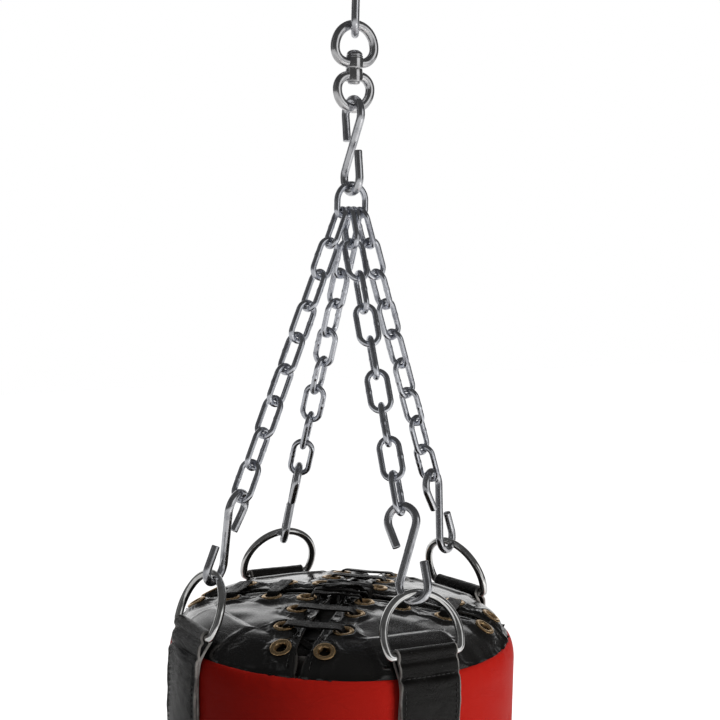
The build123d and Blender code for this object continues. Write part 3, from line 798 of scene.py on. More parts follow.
def leather(name, grain, tones, roughness, shine, coat, depth, strained=True, edge=None):
    """Coated leather: two tones, rubbed patches that are rougher, and grain by bump, deeper where
    the skin is strained. A glossy coat is worn off there. A cut or folded edge shows its own two
    tones, mixed by fibres."""
    made, tree, shader, where = material(name)
    pull = mark(tree, "strain") if strained else None
    marks = feed_all(tree, node(tree, "ShaderNodeGroup", node_tree=grain),
                     Place=where["Object"], Strain=pull)
    colour = blend(tree, marks["Tone"], *tones)
    rough = spread(tree, marks["Rubbed"], 0, 1, *roughness)
    if edge:
        cut = mark(tree, "edge")
        colour = blend(tree, cut, colour, blend(tree, noise(tree, where["Object"], 900, 3), *edge))
        rough = math(tree, "MAXIMUM", rough, math(tree, "MULTIPLY", cut, 0.7))
    worn_coat = spread(tree, pull, 0.45, 0.95, coat, 0.15) if strained and coat > 0.5 else coat
    feed_all(tree, shader, Base_Color=colour, Roughness=rough, Specular_IOR_Level=shine,
             Coat_Weight=worn_coat, Coat_Roughness=0.1, Coat_IOR=1.55,
             Normal=relief(tree, marks["Height"], depth))
    return made


smooth_grain = leather_group("smooth_grain", 900, 24)
close_grain = leather_group("close_grain", 1500, 38)


def lengths(points):
    """The length along a line at each of its points."""
    return summed(np.linalg.norm(np.diff(points, axis=0), axis=1))


def read_at(at, length, values):
    """Each column of values read at lengths along a line, straight between its points."""
    return np.stack([np.interp(at, length, column) for column in np.transpose(values)], -1)


def thread(name, dark, pale, roughness):
    """Twisted sewing thread: two tones in fine lines across its length."""
    made, tree, shader, where = material(name)
    twist = noise(tree, stretched(tree, where["UV"], (4000, 1500, 1)), 1, 2)
    feed_all(tree, shader, Base_Color=blend(tree, twist, dark, pale), Roughness=roughness)
    return made


stitch_pitch, stitch_length = 0.0045, 0.0034


def stitch_row(name, points, normals, finish, thick=0.00035):
    """A row of sewn stitches along points: each one a short tube from hole to hole, its middle
    raised and its ends sunk, the height along it a sine. All stitches ride on the bag."""
    length = lengths(points)
    starts = np.arange(stitch_pitch / 2, length[-1] - stitch_length, stitch_pitch)
    share = np.linspace(0, 1, 7)
    at = starts[:, None] + share * stitch_length
    normal = unit(read_at(at, length, normals))
    arch = np.sin(share * np.pi)
    line = read_at(at, length, points) + normal * ((arch * 2.2 - 1.4) * thick)[:, None]
    tangent = unit(line[:, -1:] - line[:, :1])
    across = np.cross(tangent, normal)
    turn = full_turn(8)[:, None]
    radius = thick * (0.35 + 0.65 * arch ** 0.5)[:, None, None]
    circle = across[:, :, None] * np.cos(turn) + normal[:, :, None] * np.sin(turn)
    row = surface(name, line[:, :, None] + circle * radius, finish, closed=False)
    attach(row, "bag")


# ---- side cover --------------------------------------------------------------------------------
# Red coated leather, one sheet round the bag, joined by an upright lapped seam at the back. The
# filling pushes it out a little between the seams, and it is drawn in where it is sewn.
seam = np.radians(seam_angle)
join = np.radians(131)
lap_step, lap_width = 0.0011, 0.022
join_inset, join_rows = 0.004, (0.0, 0.005)
tuck_depth, tuck_drop, seam_depth = 0.004, 0.0005, 0.0014
shoulder_turn = np.linspace(seam, 0, 34)
drop = shoulder_z - bottom_seam
down_side = drop * np.concatenate((np.linspace(0, 0.15, 50)[1:], np.linspace(0.15, 0.96, 120)[1:],
                                   np.linspace(0.96, 1, 24)[1:]))
side_reach = np.concatenate((shoulder_reach + shoulder_radius * np.cos(shoulder_turn),
                             np.full(len(down_side), bag_radius)))
side_z = np.concatenate((shoulder_z + shoulder_radius * np.sin(shoulder_turn),
                         shoulder_z - down_side))
side_out = np.concatenate((np.cos(shoulder_turn), np.ones(len(down_side))))
side_up = np.concatenate((np.sin(shoulder_turn), np.zeros(len(down_side))))
from_top = lengths(np.column_stack((side_reach, side_z)))
from_bottom = from_top[-1] - from_top
side_azimuth = full_turn(384)[None]


def side_lift(from_top, from_bottom, azimuth, reach, z):
    """How far the side stands off the cylinder: slow swells, smaller ones, puckers that die away
    from each seam, the lapped join's step, the seams drawn in, and nothing under a strap."""
    place = polar(reach, azimuth, z)
    lift = 0.0007 * waves(place, 0.42, 1) + 0.00022 * waves(place, 0.13, 2)
    for away in (from_top, from_bottom):
        folds = puckers(place[..., :2], away, (0.021, 0.009, 0.16), 3, 0.0, (0.011, 0.002))
        lift = lift + 0.00045 * folds - seam_depth * np.exp(-away / 0.0016)
    turn = ((azimuth - join + np.pi) % (2 * np.pi) - np.pi) * bag_radius
    lift = lift + lap_step * ease(turn, 0, 0.0008) * ease(turn, lap_width, lap_width - 0.01)
    lift = lift - 0.0007 * bell(turn, 0.0012)
    covered = under_strap(place[..., 0], place[..., 1])
    covered = covered * ease(z - shoulder_z + strap_length, -0.012, -0.005)
    return pressed(lift, covered, 0.0006, -0.0001)


lift = side_lift(from_top[:, None], from_bottom[:, None], side_azimuth, side_reach[:, None],
                 side_z[:, None])
side_points = polar(side_reach[:, None] + side_out[:, None] * lift, side_azimuth,
                    side_z[:, None] + side_up[:, None] * lift)
inward = -polar(tuck_depth, side_azimuth, 0)
tuck_top = side_points[:1] + inward - upright * tuck_drop
tuck_bottom = side_points[-1:] + inward + upright * tuck_drop
side_points = np.concatenate((tuck_top, side_points, tuck_bottom))
strain = np.pad(np.exp(-np.minimum(from_top, from_bottom) / 0.015), 1, "edge")
red_leather = leather("red_leather", smooth_grain, ((0.46, 0.016, 0.010), (0.41, 0.012, 0.008)),
                      (0.46, 0.54), 0.06, 0.0, 0.00022)
side_skin = surface("side_cover_skin", side_points, red_leather,
                    marks={"strain": np.broadcast_to(strain[:, None], side_points.shape[:2])})
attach(side_skin, "bag")
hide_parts("side_cover")
join_height = np.linspace(0.006, drop - 0.006, 220)
join_at = join + join_inset / bag_radius
join_reach = bag_radius + side_lift(join_height, drop - join_height, join_at, bag_radius,
                                    shoulder_z - join_height)
red_thread = thread("red_thread", (0.25, 0.012, 0.008), (0.4, 0.03, 0.02), 0.7)
out = level(np.degrees(join_at))
for number, offset in enumerate(join_rows):
    shift = np.cross(upright, out) * offset
    line = out * join_reach[:, None] + shift - upright * join_height[:, None] + upright * shoulder_z
    stitch_row(f"side_join_stitches_{number + 1}", line, np.broadcast_to(out, line.shape),
               red_thread)


# ---- bottom panel ------------------------------------------------------------------------------
# A round panel of black coated leather with its rim turned up to the side cover's lower seam. It
# sags a little under the filling, and gathers in small folds at the rim.
corner_turn = np.linspace(0, -np.pi / 2, 22)
flat_reach = np.linspace(bag_radius - bottom_corner, 0, 70)[1:]
bottom_reach = np.concatenate((
    bag_radius - bottom_corner + bottom_corner * np.cos(corner_turn), flat_reach))[:, None]
bottom_out = np.concatenate((np.cos(corner_turn), 0 * flat_reach))[:, None]
bottom_up = np.concatenate((np.sin(corner_turn), 0 * flat_reach - 1))[:, None]
bottom_z = bottom_seam + bottom_corner * bottom_up
from_rim = lengths(np.column_stack((bottom_reach, bottom_z)))[:, None]
bottom_azimuth = full_turn(320)[None]
ring = polar(bag_radius, bottom_azimuth, 0)[..., :2]
plan = polar(bottom_reach, bottom_azimuth, 0)[..., :2]
lift = 0.0035 * ease(from_rim, 0.01, 0.11)
lift = lift + 0.0009 * waves(plan, 0.11, 11) * ease(from_rim, 0.02, 0.06)
lift = lift + 0.0006 * waves(ring, 0.017, 12) * np.exp(-from_rim / 0.013) * ease(from_rim, 0, 0.004)
lift = lift - seam_depth * np.exp(-from_rim / 0.0016)
bottom_points = polar(bottom_reach + bottom_out * lift, bottom_azimuth, bottom_z + bottom_up * lift)
tuck = bottom_points[:1] - polar(tuck_depth, bottom_azimuth, 0) + upright * 0.0002
bottom_points = np.concatenate((tuck, bottom_points))
black_leather = leather("black_leather", smooth_grain,
                        ((0.003, 0.003, 0.003), (0.006, 0.0055, 0.005)),
                        (0.38, 0.52), 0.25, 0.05, 0.00022,
                        edge=((0.03, 0.027, 0.025), (0.08, 0.075, 0.07)))
strain = np.exp(-np.concatenate((from_rim[:1], from_rim)) / 0.02)
bottom_skin = surface("bottom_panel_skin", bottom_points, black_leather,
                      marks={"strain": np.broadcast_to(strain, bottom_points.shape[:2])})
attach(bottom_skin, "bag")
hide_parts("bottom_panel")


# ---- foam lining and filling -------------------------------------------------------------------
# Out of sight inside the skins: a sleeve of grey closed-cell foam, and shredded textile packed
# inside it. They keep their CAD shapes.
foam, tree, shader, where = material("closed_cell_foam")
cells = feed_all(tree, node(tree, "ShaderNodeTexVoronoi"), Vector=where["Object"], Scale=700)
cell_tones = blend(tree, cells["Distance"], (0.05, 0.05, 0.055), (0.14, 0.14, 0.15))
feed_all(tree, shader, Base_Color=cell_tones, Roughness=0.9)
shreds, tree, shader, where = material("shredded_textile")
threads = noise(tree, where["Object"], 180, 6, 0.7, 2.5)
lumps = noise(tree, where["Object"], 30, 3)
mixed = blend(tree, threads, (0.12, 0.13, 0.16), (0.55, 0.52, 0.46))
feed_all(tree, shader, Base_Color=blend(tree, lumps, mixed, (0.3, 0.27, 0.25)), Roughness=0.95,
         Normal=relief(tree, threads, 0.002))
for cad, finish in (("foam_lining", foam), ("filling", shreds)):
    mesh = frame["nodes"][cad].data
    mesh.materials.clear()
    mesh.materials.append(finish)


# ---- tongue and laced flaps --------------------------------------------------------------------
# The top is four flaps of black coated leather over a round tongue, each held by the seam and by
# its eyelets. A flap is creased where the lace pulls and drawn in at the seam, then settled by a
# short cloth simulation. Its slit edges are turned under and sewn.
tongue_radius, tongue_sunk, tongue_thick = 0.104, 0.0075, 0.002
tongue_reach = np.linspace(tongue_radius, 0.0, 60)[:, None]
tongue_azimuth = full_turn(160)[None]
swell = 0.0007 * waves(polar(tongue_reach, tongue_azimuth, 0)[..., :2], 0.05, 21) - tongue_sunk
tongue_top = on_top(tongue_reach, tongue_azimuth, swell)
tongue_under = on_top(tongue_reach, tongue_azimuth, swell - tongue_thick)[::-1]
tongue_leather = leather("tongue_leather", close_grain,
                         ((0.005, 0.0045, 0.0045), (0.009, 0.008, 0.007)),
                         (0.45, 0.6), 0.35, 0.0, 0.0003, strained=False)
tongue = surface("tongue_disc", np.concatenate((tongue_under, tongue_top)), tongue_leather,
                 round_rows=True)
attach(tongue, "bag")
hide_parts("tongue")

flap_rows, flap_columns = 130, 131
flap_thickness, gap_at_seam, gap_growth, edge_width = 0.0022, 0.0009, 0.0040, 0.0011
hole_radius, growth, push = 0.0064, 0.012, 0.9
stitched_column, stitched_rows = 5, slice(14, -4)
crest = np.arcsin(crest_reach / dome_radius)
dome_length = dome_radius * crest
meridian = np.linspace(0, 1, flap_rows)
tip_reach = 0.011
full_length = dome_length + shoulder_radius * (np.pi / 2 - seam - crest)
length = tip_reach + (full_length - tip_reach) * meridian
on_shoulder = crest + (length - dome_length) / shoulder_radius
flap_reach = np.where(length < dome_length, dome_radius * np.sin(length / dome_radius),
                      shoulder_reach + shoulder_radius * np.sin(on_shoulder))
flap_reach = np.minimum(flap_reach, seam_reach - 1e-7)[:, None]
from_seam = (full_length - length)[:, None]


def flap_lift(azimuth_middle, azimuth, eyes):
    """How far a flap stands off the dome: puffed between the seam and the lace, dimpled at each
    eyelet, creased from each eyelet towards its slit and its neighbours, rolled at the slit
    edges, and puckered and drawn in at the seam."""
    plan = polar(flap_reach, azimuth, 0)[..., :2]
    to_slit = flap_reach * np.sin(np.radians(45) - np.abs(azimuth - azimuth_middle))
    puff = 0.0016 * ease(from_seam, 0.0, 0.03) * ease(to_slit, 0.004, 0.035)
    lift = puff + 0.0007 * waves(plan, 0.085, 31) * ease(from_seam, 0, 0.02)
    lift = lift + 0.00025 * waves(plan, 0.03, 32)
    for number, (place, _, _) in enumerate(eyes):
        x, y = np.moveaxis(plan - place[:2], -1, 0)
        away, turn = np.hypot(x, y), np.arctan2(y, x)
        lines = np.cos(5 * turn + number * 1.7) + 0.7 * np.cos(3 * turn + number * 2.9)
        lift = lift - 0.0017 * bell(away, 0.013) + 0.00035 * lines * bell(away - 0.014, 0.007)
        lift = np.where(away < 0.0095, -0.0001, lift)
    ring = plan / flap_reach[..., None] * bag_radius
    folds = puckers(ring, from_seam, (0.015, 0.007, 0.12), 33, -0.3, (0.009, 0.0018))
    lift = lift + 0.0006 * folds
    lift = lift + 0.0008 * bell(to_slit - 0.0062, 0.0022) - 0.0016 * bell(to_slit - 0.0035, 0.0012)
    lift = lift - 0.0015 * np.exp(-from_seam / 0.0018)
    return pressed(lift, under_strap(plan[..., 0], plan[..., 1]), 0.001, -0.0003)


def drape(piece, held, frames=18, furthest=0.003):
    """Let a piece settle as cloth with some points held, a little larger than the place it
    covers and pushed from inside, and keep every point within a distance of its first place."""
    mesh = piece.data
    start = np.empty(len(mesh.vertices) * 3, np.float32)
    mesh.vertices.foreach_get("co", start)
    pins = piece.vertex_groups.new(name="held")
    for weight in np.unique(np.round(held, 2)):
        pins.add(np.flatnonzero(np.round(held, 2) == weight).tolist(), float(weight), "REPLACE")
    cloth = piece.modifiers.new("drape", "CLOTH")
    for label, value in {
        "quality": 6, "mass": 0.4, "tension_stiffness": 30, "compression_stiffness": 12,
        "bending_stiffness": 1.2, "air_damping": 6, "vertex_group_mass": pins.name,
        "shrink_min": -growth, "use_pressure": True, "uniform_pressure_force": push,
    }.items():
        setattr(cloth.settings, label, value)
    cloth.collision_settings.use_collision = False
    cloth.point_cache.frame_start = 1
    cloth.point_cache.frame_end = frames
    for frame_number in range(1, frames + 1):
        scene.frame_set(frame_number)
    settled = np.empty_like(start)
    moved = piece.evaluated_get(bpy.context.evaluated_depsgraph_get())
    moved.data.vertices.foreach_get("co", settled)
    piece.modifiers.remove(cloth)
    piece.vertex_groups.clear()
    scene.frame_set(1)
    move = (settled - start).reshape(-1, 3)
    size = np.linalg.norm(move, axis=1, keepdims=True)
    move *= np.minimum(1, furthest / np.maximum(size, 1e-9))
    mesh.vertices.foreach_set("co", (start.reshape(-1, 3) + move).reshape(-1))
    mesh.update()


def pierce(piece, places, radius):
    """Cut a hole through a skin at each place: its faces within the radius are removed."""
    mesh = piece.data
    centres = np.empty(len(mesh.polygons) * 3, np.float32)
    mesh.polygons.foreach_get("center", centres)
    away = np.linalg.norm(centres.reshape(-1, 1, 3) - np.array(places)[None], axis=-1).min(1)
    shell = bmesh.new()
    shell.from_mesh(mesh)
    shell.faces.ensure_lookup_table()
    cut = [shell.faces[index] for index in np.flatnonzero(away < radius)]
    bmesh.ops.delete(shell, geom=cut, context="FACES")
    shell.to_mesh(mesh)
    shell.free()


black_thread = thread("black_thread", (0.012, 0.012, 0.012), (0.05, 0.05, 0.05), 0.65)
flap_leather = leather("flap_leather", smooth_grain,
                       ((0.003, 0.0028, 0.0026), (0.006, 0.0055, 0.005)),
                       (0.2, 0.34), 0.3, 1.0, 0.0002,
                       edge=((0.012, 0.011, 0.010), (0.06, 0.055, 0.05)))
for side, middle in flap_azimuths.items():
    middle_turn = np.radians(middle)
    gap = gap_growth * ease(from_seam, 0.006, 0.05) + gap_at_seam
    half = np.radians(45) - np.arcsin(np.minimum(gap / flap_reach, 0.68))
    share = np.linspace(-1, 1, flap_columns)[None]
    azimuth = middle_turn + half * share
    eyes = flap_eyelets(middle)
    points = on_top(flap_reach, azimuth, flap_lift(middle_turn, azimuth, eyes))
    # The last rows go down into the seam, and the very last is tucked under the side cover.
    seam_line = points[-1:].copy()
    points[-3:-2] += (seam_line - points[-3:-2]) * 0.85
    points[-2:-1] = seam_line
    points[-1:] -= unit(seam_line * (1, 1, 0)) * 0.003 + upright * 0.0006
    strain = np.exp(-from_seam / 0.012) + 0 * share
    held = np.clip(ease(from_seam, 0.004, 0.0) + under_strap(points[..., 0], points[..., 1]), 0, 1)
    for place, _, _ in eyes:
        away = np.linalg.norm(points - place, axis=-1)
        held = np.maximum(held, ease(away, 0.014, 0.0095))
        strain = np.maximum(strain, bell(away, 0.02))
    edge = ease(np.abs(share), *(1 - inset / (flap_reach * half) for inset in (edge_width, 0.0004)))
    flap = surface(f"top_flap_{side}_skin", points[:, ::-1], flap_leather, round_columns=False,
                   closed=False, marks={"strain": strain[:, ::-1], "edge": edge[:, ::-1]})
    drape(flap, held[:, ::-1].reshape(-1))
    pierce(flap, [place for place, _, _ in eyes], hole_radius)
    shell = flap.modifiers.new("thickness", "SOLIDIFY")
    shell.thickness = flap_thickness
    shell.offset = -1
    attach(flap, "bag")
    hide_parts(f"top_flap_{side}")
    for number, column in enumerate((stitched_column, flap_columns - 1 - stitched_column)):
        path = points[stitched_rows, column]
        out = unit(path - np.array((0, 0, dome_z)))
        stitch_row(f"flap_{side}_stitches_{number + 1}", path + out * 0.0002, out, black_thread)


# ---- eyelets -----------------------------------------------------------------------------------
# Rolled brass rings pressed through the flaps, tarnished brown in their bores and worn bright on
# their rims. Each is turned from one profile about its own normal.
brass, tree, shader, where = material("brass")
tarnish = spread(tree, noise(tree, where["Object"], 170, 4, 0.6), 0.38, 0.62)
unworn = math(tree, "SUBTRACT", 1.15, mark(tree, "worn"))
tarnish = math(tree, "MULTIPLY", tarnish, unworn, clamp=True)
feed_all(tree, shader,
         Base_Color=blend(tree, tarnish, (0.68, 0.47, 0.25), (0.22, 0.13, 0.062)),
         Roughness=spread(tree, tarnish, 0, 1, 0.22, 0.5),
         Metallic=spread(tree, tarnish, 0, 1, 1, 0.5),
         Normal=relief(tree, noise(tree, where["Object"], 420, 3), 0.0001))
# An eyelet's section, radius and height in millimetres: its foot, barrel, rolled rim and bore.
ring_profile = rounded(np.array((
    (4.55, -5.0), (8.4, -5.0), (8.4, -4.3), (5.4, -4.0), (5.4, -0.6), (8.9, -0.35),
    (8.9, 0.5), (7.3, 1.25), (5.6, 0.9), (4.6, -0.3), (4.55, -5.0),
)) / 1000, 0.0006, 4)
ring_worn = np.clip((ring_profile[:, 1] - 0.0004) / 0.0008, 0, 1)
turn = full_turn(40)
for side, middle in flap_azimuths.items():
    rings = []
    for place, along, normal in flap_eyelets(middle):
        spokes = along * np.cos(turn)[:, None] + np.cross(normal, along) * np.sin(turn)[:, None]
        radius, rise = ring_profile[:, :1, None], ring_profile[:, 1:, None]
        rings.append(place + radius * spokes + rise * normal)
    rings = np.array(rings)
    piece = surface(f"eyelets_{side}_rings", rings, brass,
                    marks={"worn": np.broadcast_to(ring_worn[None, :, None], rings.shape[:3])})
    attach(piece, "bag")
    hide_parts(f"eyelets_{side}")


# ---- laces and knot ----------------------------------------------------------------------------
# Flat waxed lace. Over each slit it makes a rung at each pair of eyelets and crosses under the
# flaps from pair to pair. Where the four flaps meet it is wound to a flat cluster of turns,
# tucked under one another.
waxed, tree, shader, where = material("waxed_lace")
weave = node(tree, "ShaderNodeTexWave", wave_type="BANDS", bands_direction="DIAGONAL")
weave = feed_all(tree, weave, Vector=where["UV"], Scale=420, Distortion=1.5)["Fac"]
rub = noise(tree, where["Object"], 140, 4, 0.6)
feed_all(tree, shader,
         Base_Color=blend(tree, rub, (0.002, 0.002, 0.002), (0.009, 0.008, 0.0075)),
         Roughness=spread(tree, rub, 0.35, 0.7, 0.22, 0.42),
         Specular_IOR_Level=0.08, Normal=relief(tree, weave, 0.00012))


def rounded_bar(width, thickness, edge, along):
    """The outline of a flat band's section: two long faces joined by round edges, as offsets
    across and outward."""
    half, deep = width / 2 - edge, thickness / 2
    turn = np.linspace(-np.pi / 2, np.pi / 2, 7)[1:-1]
    face = np.linspace(-half, half, along)
    right = np.column_stack((half + edge * np.cos(turn), deep * np.sin(turn)))
    inner = np.column_stack((face, np.full(along, -deep)))
    return np.concatenate((inner, right, inner[::-1] * (1, -1), right[::-1] * (-1, 1)))


def smooth_line(corners, count, softness):
    """A line through corner points, spaced evenly and smoothed by a moving bell-weighted mean,
    its two ends kept."""
    length = lengths(corners)
    at = np.linspace(0, length[-1], count)
    line = read_at(at, length, corners)
    weight = bell(at[:, None] - at[None], np.maximum(1e-6, np.minimum(
        softness, np.minimum(at, length[-1] - at)))[:, None])
    return weight @ line / weight.sum(1, keepdims=True)


def bands(paths, width):
    """Flat laces along paths, each a line and its facings: at each point the section is laid on
    the facing, made square to the line, and on the direction across both. Each lace closes to a
    point at its ends."""
    lines, facings = (np.array(part) for part in zip(*paths))
    tangent = unit(np.gradient(lines, axis=1))
    normal = unit(facings - tangent * (facings * tangent).sum(-1, keepdims=True))
    across = np.cross(tangent, normal)
    section = rounded_bar(width, lace_thickness, lace_edge, 10)
    grid = lines[:, :, None] + across[:, :, None] * section[:, :1]
    grid = grid + normal[:, :, None] * section[:, 1:]
    ends = [lines[:, end, None, None] + 0 * grid[:, :1] for end in (0, -1)]
    return np.concatenate((ends[0], grid, ends[1]), 1)


lace_width, lace_thickness, lace_edge = 0.0068, 0.0016, 0.0008
knot_width, crossing_drop, last_drop, last_reach = 0.0064, 0.0048, 0.0047, 0.024
random_turn = np.random.default_rng(41)


def rung(arm, reach, offset, sag, slip):
    """A lace's path over a slit: up one bore, across close to the leather and a little to one
    side of the pair, and down the other."""
    place, along, normal = beside_slit(arm, reach, 0)
    across = np.cross(normal, along)
    half = np.array(((-offset, -0.006), (-offset, 0.0002), (0.003 - offset, 0.0028),
                     (-offset * 0.45, 0.0030 - sag)))
    flat = smooth_line(np.concatenate((half, ((0, 0.0026 - sag),), half[::-1] * (-1, 1))),
                       60, 0.0016)
    bow = np.sin(np.linspace(0, np.pi, 60))[:, None] ** 0.5
    shift = along * (slip + random_turn.normal(0, 0.0005)) * bow
    line = place + across * flat[:, :1] + normal * flat[:, 1:] + shift
    out = across * np.sign(flat[:, :1]) * ease(-flat[:, 1:], -0.002, 0.001) + normal * 0.6
    return line, out


def crossing(arm, first, second, side):
    """A lace's path under the flaps, from the bore beside one pair to the far bore of the next."""
    start, _, normal = beside_slit(arm, first[0], side * first[1])
    end, _, end_normal = beside_slit(arm, second[0], -side * second[1])
    share = np.linspace(0, 1, 40)[:, None]
    under = crossing_drop + 0.0006 * side * np.sin(share * np.pi)
    line = start * (1 - share) + end * share - normal * under
    return line, np.broadcast_to(unit(normal + end_normal), line.shape)


for name, slit in (("lace_left_right", -45), ("lace_front_back", 45)):
    over, under = [], []
    for arm in (slit, slit + 180):
        for reach, offset in eyelet_places[:2]:
            over.append(rung(arm, reach, offset, 0.0005, -0.0027))
            over.append(rung(arm, reach, offset, random_turn.uniform(0.0, 0.0004), 0.0029))
        place, along, normal = beside_slit(arm, eyelet_places[2][0], 0)
        share = np.linspace(-1, 1, 40)[:, None]
        line = place + np.cross(normal, along) * share * last_reach
        line = line - normal * (last_drop + 0.0008 * share ** 2)
        under.append((line, np.broadcast_to(normal, line.shape)))
        for first, second in zip(eyelet_places[:-1], eyelet_places[1:]):
            under += [crossing(arm, first, second, side) for side in (-1, 1)]
    for label, paths, cad in (("rungs", over, name), ("crossings", under, None)):
        piece = surface(f"{name}_{label}", bands(paths, lace_width), waxed)
        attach(piece, "bag")
        if cad:
            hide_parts(cad)

dome_top = dome_z + dome_radius
turns = []
for number, (along_place, turn, half, height, bow) in enumerate((
    (-0.002, 45, 0.023, 0.0014, 0.0007), (0.006, 39, 0.024, 0.0014, 0.0008),
    (-0.022, 135, 0.027, 0.0030, 0.0010), (-0.0115, 139, 0.030, 0.0033, 0.0012),
    (0.0, 132, 0.031, 0.0036, 0.0012), (0.0115, 137, 0.029, 0.0033, 0.0011),
    (0.022, 134, 0.026, 0.0029, 0.0009), (-0.005, 152, 0.021, 0.0056, 0.0013),
)):
    out, side = level(turn - 90), level(turn)
    share = np.linspace(-1, 1, 60)[:, None]
    fall = ease(np.abs(share), 0.72, 1.0) * (height + 0.0055)
    rise = height - fall + bow * np.cos(share * np.pi / 2) + 0.0003 * np.sin(share * 9 + number)
    place = out * along_place + side * half * share * (1 - 0.12 * ease(np.abs(share), 0.7, 1.0))
    place = place + out * 0.0012 * np.sin(share * 2.2 + number * 2.1)
    drop = (place[:, :2] ** 2).sum(1, keepdims=True) / (2 * dome_radius)
    lean = upright + 0.25 * out * np.sin(share * 2.6 + number * 1.3)
    turns.append((place + upright * (dome_top + rise - drop), lean))
knot = surface("lace_knot_turns", bands(turns, knot_width), waxed)
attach(knot, "bag")
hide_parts("lace_knot")


# ---- straps ------------------------------------------------------------------------------------
# Each strap is one length of heavy leather, 55 mm wide: up the side, round the D-ring's bar, and
# back down behind itself. Its cut edges are pale fibre. It is sewn across under the bar, along
# both edges, and with a crossed box near its end.
ring_bar_reach = float(np.hypot(*joints["d_ring_front_tilt"]["pos_m"][:2]))
ring_bar_z = float(joints["d_ring_front_tilt"]["pos_m"][2])
strap_parting, loop_lead, loop_sweep = 22, 98, 164
lift_turn = np.degrees(np.arctan2(ring_bar_z - shoulder_z, ring_bar_reach - shoulder_reach))
inner_radius = shoulder_radius + body_gap + strap_layer / 2
outer_radius = inner_radius + strap_layer
loop_radius = ring_wire / 2 + body_gap + strap_layer / 2
parting = lift_turn - strap_parting
shoulder_centre = np.array((shoulder_reach, shoulder_z))
bar_centre = np.array((ring_bar_reach, ring_bar_z))
strap_end = shoulder_z - strap_length
parting_place = arc(shoulder_centre, (inner_radius + outer_radius) / 2, parting, 1, 1)[0]
toward = np.degrees(np.arctan2(*(parting_place - bar_centre)[::-1]))
outer_reach, inner_reach = shoulder_reach + outer_radius, shoulder_reach + inner_radius
strap_line = np.concatenate((
    run((outer_reach, strap_end), (outer_reach, shoulder_z), 90),
    arc(shoulder_centre, outer_radius, 0, parting, 24),
    arc(bar_centre, loop_radius, toward + loop_lead, loop_sweep, 60),
    arc(shoulder_centre, inner_radius, parting, -parting, 24),
    run((inner_reach, shoulder_z), (inner_reach, strap_end), 90),
    ((inner_reach, strap_end),),
))
strap_line = smooth_line(strap_line, 620, 0.0011)
strap_tangent = unit(np.gradient(strap_line, axis=0))
strap_normal = np.column_stack((strap_tangent[:, 1], -strap_tangent[:, 0]))
strap_run = lengths(strap_line)
from_loop = np.abs(strap_run - strap_run[-1] / 2)
outer_side = strap_run < strap_run[-1] / 2
bent = ease(from_loop, 0.014, 0.045)
strap_section = rounded_bar(strap_width, strap_layer, 0.0007, 56)
foot_row, box_row = from_loop[0] - 0.005, from_loop[0] - 0.050
beside = 0.0235
# Each row of stitches: where it starts and ends down from the bar, and across the strap.
stitch_rows = (
    ("stitches_across", (0.0255, 0.0255), (-0.024, 0.024)),
    ("stitches_left", (0.031, foot_row), (-beside, -beside)),
    ("stitches_right", (0.031, foot_row), (beside, beside)),
    ("stitches_foot", (foot_row, foot_row), (-beside, beside)),
    ("stitches_box_top", (box_row, box_row), (-beside, beside)),
    ("stitches_cross_1", (box_row, foot_row), (-beside, beside)),
    ("stitches_cross_2", (box_row, foot_row), (beside, -beside)),
)
heavy = leather("strap_leather", close_grain, ((0.004, 0.0038, 0.0036), (0.011, 0.0105, 0.010)),
                (0.21, 0.35), 0.2, 0.0, 0.0003, edge=((0.22, 0.21, 0.20), (0.60, 0.58, 0.56)))


def round_bag(x, across, bent, out, left, z):
    """A strap's place in space: its offset across is an arc about the bag's axis where bent is 1
    and straight where bent is 0."""
    turn = across / x
    plan_x = x * np.cos(turn) * bent + x * (1 - bent)
    plan_y = x * np.sin(turn) * bent + across * (1 - bent)
    return out * plan_x[..., None] + left * plan_y[..., None] + upright * z[..., None]


def sew_strap(side, out, left, name, down_ends, across_ends):
    """A row of stitches on a strap's outer layer between two places, given down from the bar and
    across the strap."""
    share = np.linspace(0, 1, 200)
    down_at, across_at = (a + (b - a) * share for a, b in (down_ends, across_ends))
    index = np.interp(down_at, from_loop[outer_side][::-1], np.arange(outer_side.sum())[::-1])
    face = strap_line + strap_normal * strap_layer / 2
    x, z, curve, normal_x, normal_z = read_at(
        index, np.arange(len(face)), np.column_stack((face, bent, strap_normal))).T
    normal = unit(out * normal_x[:, None] + left * (across_at / x * curve * normal_x)[:, None]
                  + upright * normal_z[:, None])
    line = round_bag(x, across_at, curve, out, left, z) + normal * 0.0001
    stitch_row(f"strap_{side}_{name}", line, normal, black_thread, 0.00034)


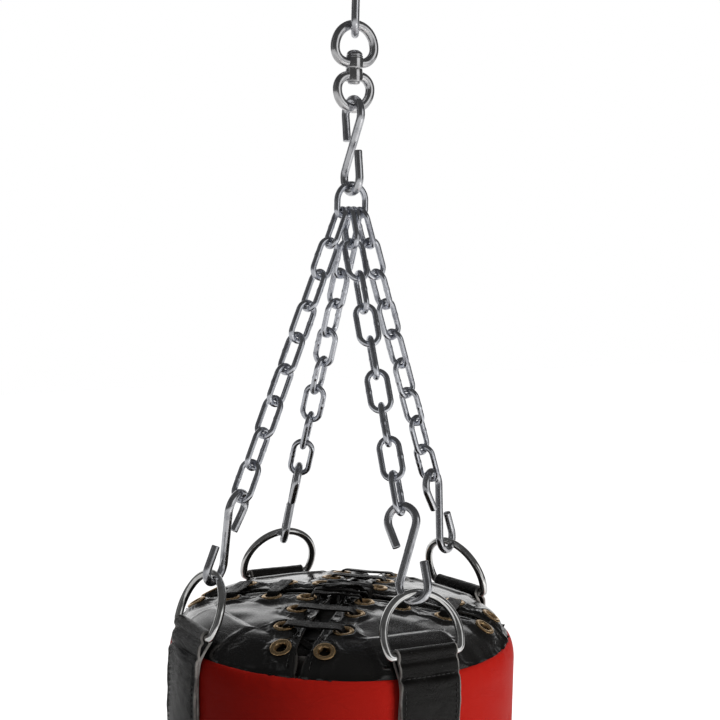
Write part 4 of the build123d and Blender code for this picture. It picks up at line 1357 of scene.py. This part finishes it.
for number, (side, (azimuth, _)) in enumerate(legs.items()):
    out, left = level(azimuth), level(azimuth + 90)
    t, h = strap_section[None, :, 0], strap_section[None, :, 1]
    place = np.stack((strap_run[:, None] + 0 * t + number, t + 0 * strap_run[:, None]), -1)
    down_run = from_loop[:, None]
    crease = -0.0015 * bell(down_run - 0.0262, 0.0020) + 0.0008 * bell(down_run - 0.0315, 0.0035)
    crease = crease * (1 + 0.5 * np.sin(t * 160 + number)) - 0.0003 * bell(down_run - 0.043, 0.003)
    crease = crease - 0.0019 * bell(down_run - 0.0128, 0.0024)
    crease = crease - 0.0003 * bell(np.abs(t) - beside, 0.0007) * ease(down_run, 0.028, 0.032)
    swell = 0.00028 * waves(place, 0.045, 51 + number) + 0.00012 * waves(place, 0.013, 61 + number)
    outer_face = np.clip(h / strap_layer * 2, 0, 1) * outer_side[:, None]
    edge_curl = 0.0003 * ease(np.abs(t), beside, 0.0272) * waves(place, 0.03, 71 + number)
    shift = swell * 0.6 * outer_face + (crease + edge_curl) * outer_side[:, None]
    edge_wave = np.sign(t) * 0.00035 * waves(place[..., :1], 0.05, 81 + number)
    flat = strap_line[:, None] + strap_normal[:, None] * (h + shift)[..., None]
    x, z = flat[..., 0], flat[..., 1]
    grid = round_bag(x, t + edge_wave, bent[:, None], out, left, z)
    ends = grid[:1].mean(1, keepdims=True), grid[-1:].mean(1, keepdims=True)
    edge = ease(np.abs(t), strap_width / 2 - 0.0010, strap_width / 2 - 0.0005) + 0 * x
    edge = edge * (0.55 + 0.45 * ease(waves(place, 0.02, 91 + number), -0.8, 0.5))
    strain = np.maximum(bell(down_run, 0.02), bell(down_run - 0.03, 0.012)) + 0 * x
    grid = np.concatenate((ends[0] + 0 * grid[:1], grid, ends[1] + 0 * grid[:1]))
    edge = np.concatenate((edge[:1] * 0 + 1, edge, edge[:1] * 0 + 1))
    strain = np.concatenate((strain[:1], strain, strain[-1:]))
    piece = surface(f"strap_{side}_leather", grid, heavy, marks={"edge": edge, "strain": strain})
    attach(piece, "bag")
    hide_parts(f"strap_{side}")
    for row in stitch_rows:
        sew_strap(side, out, left, *row)
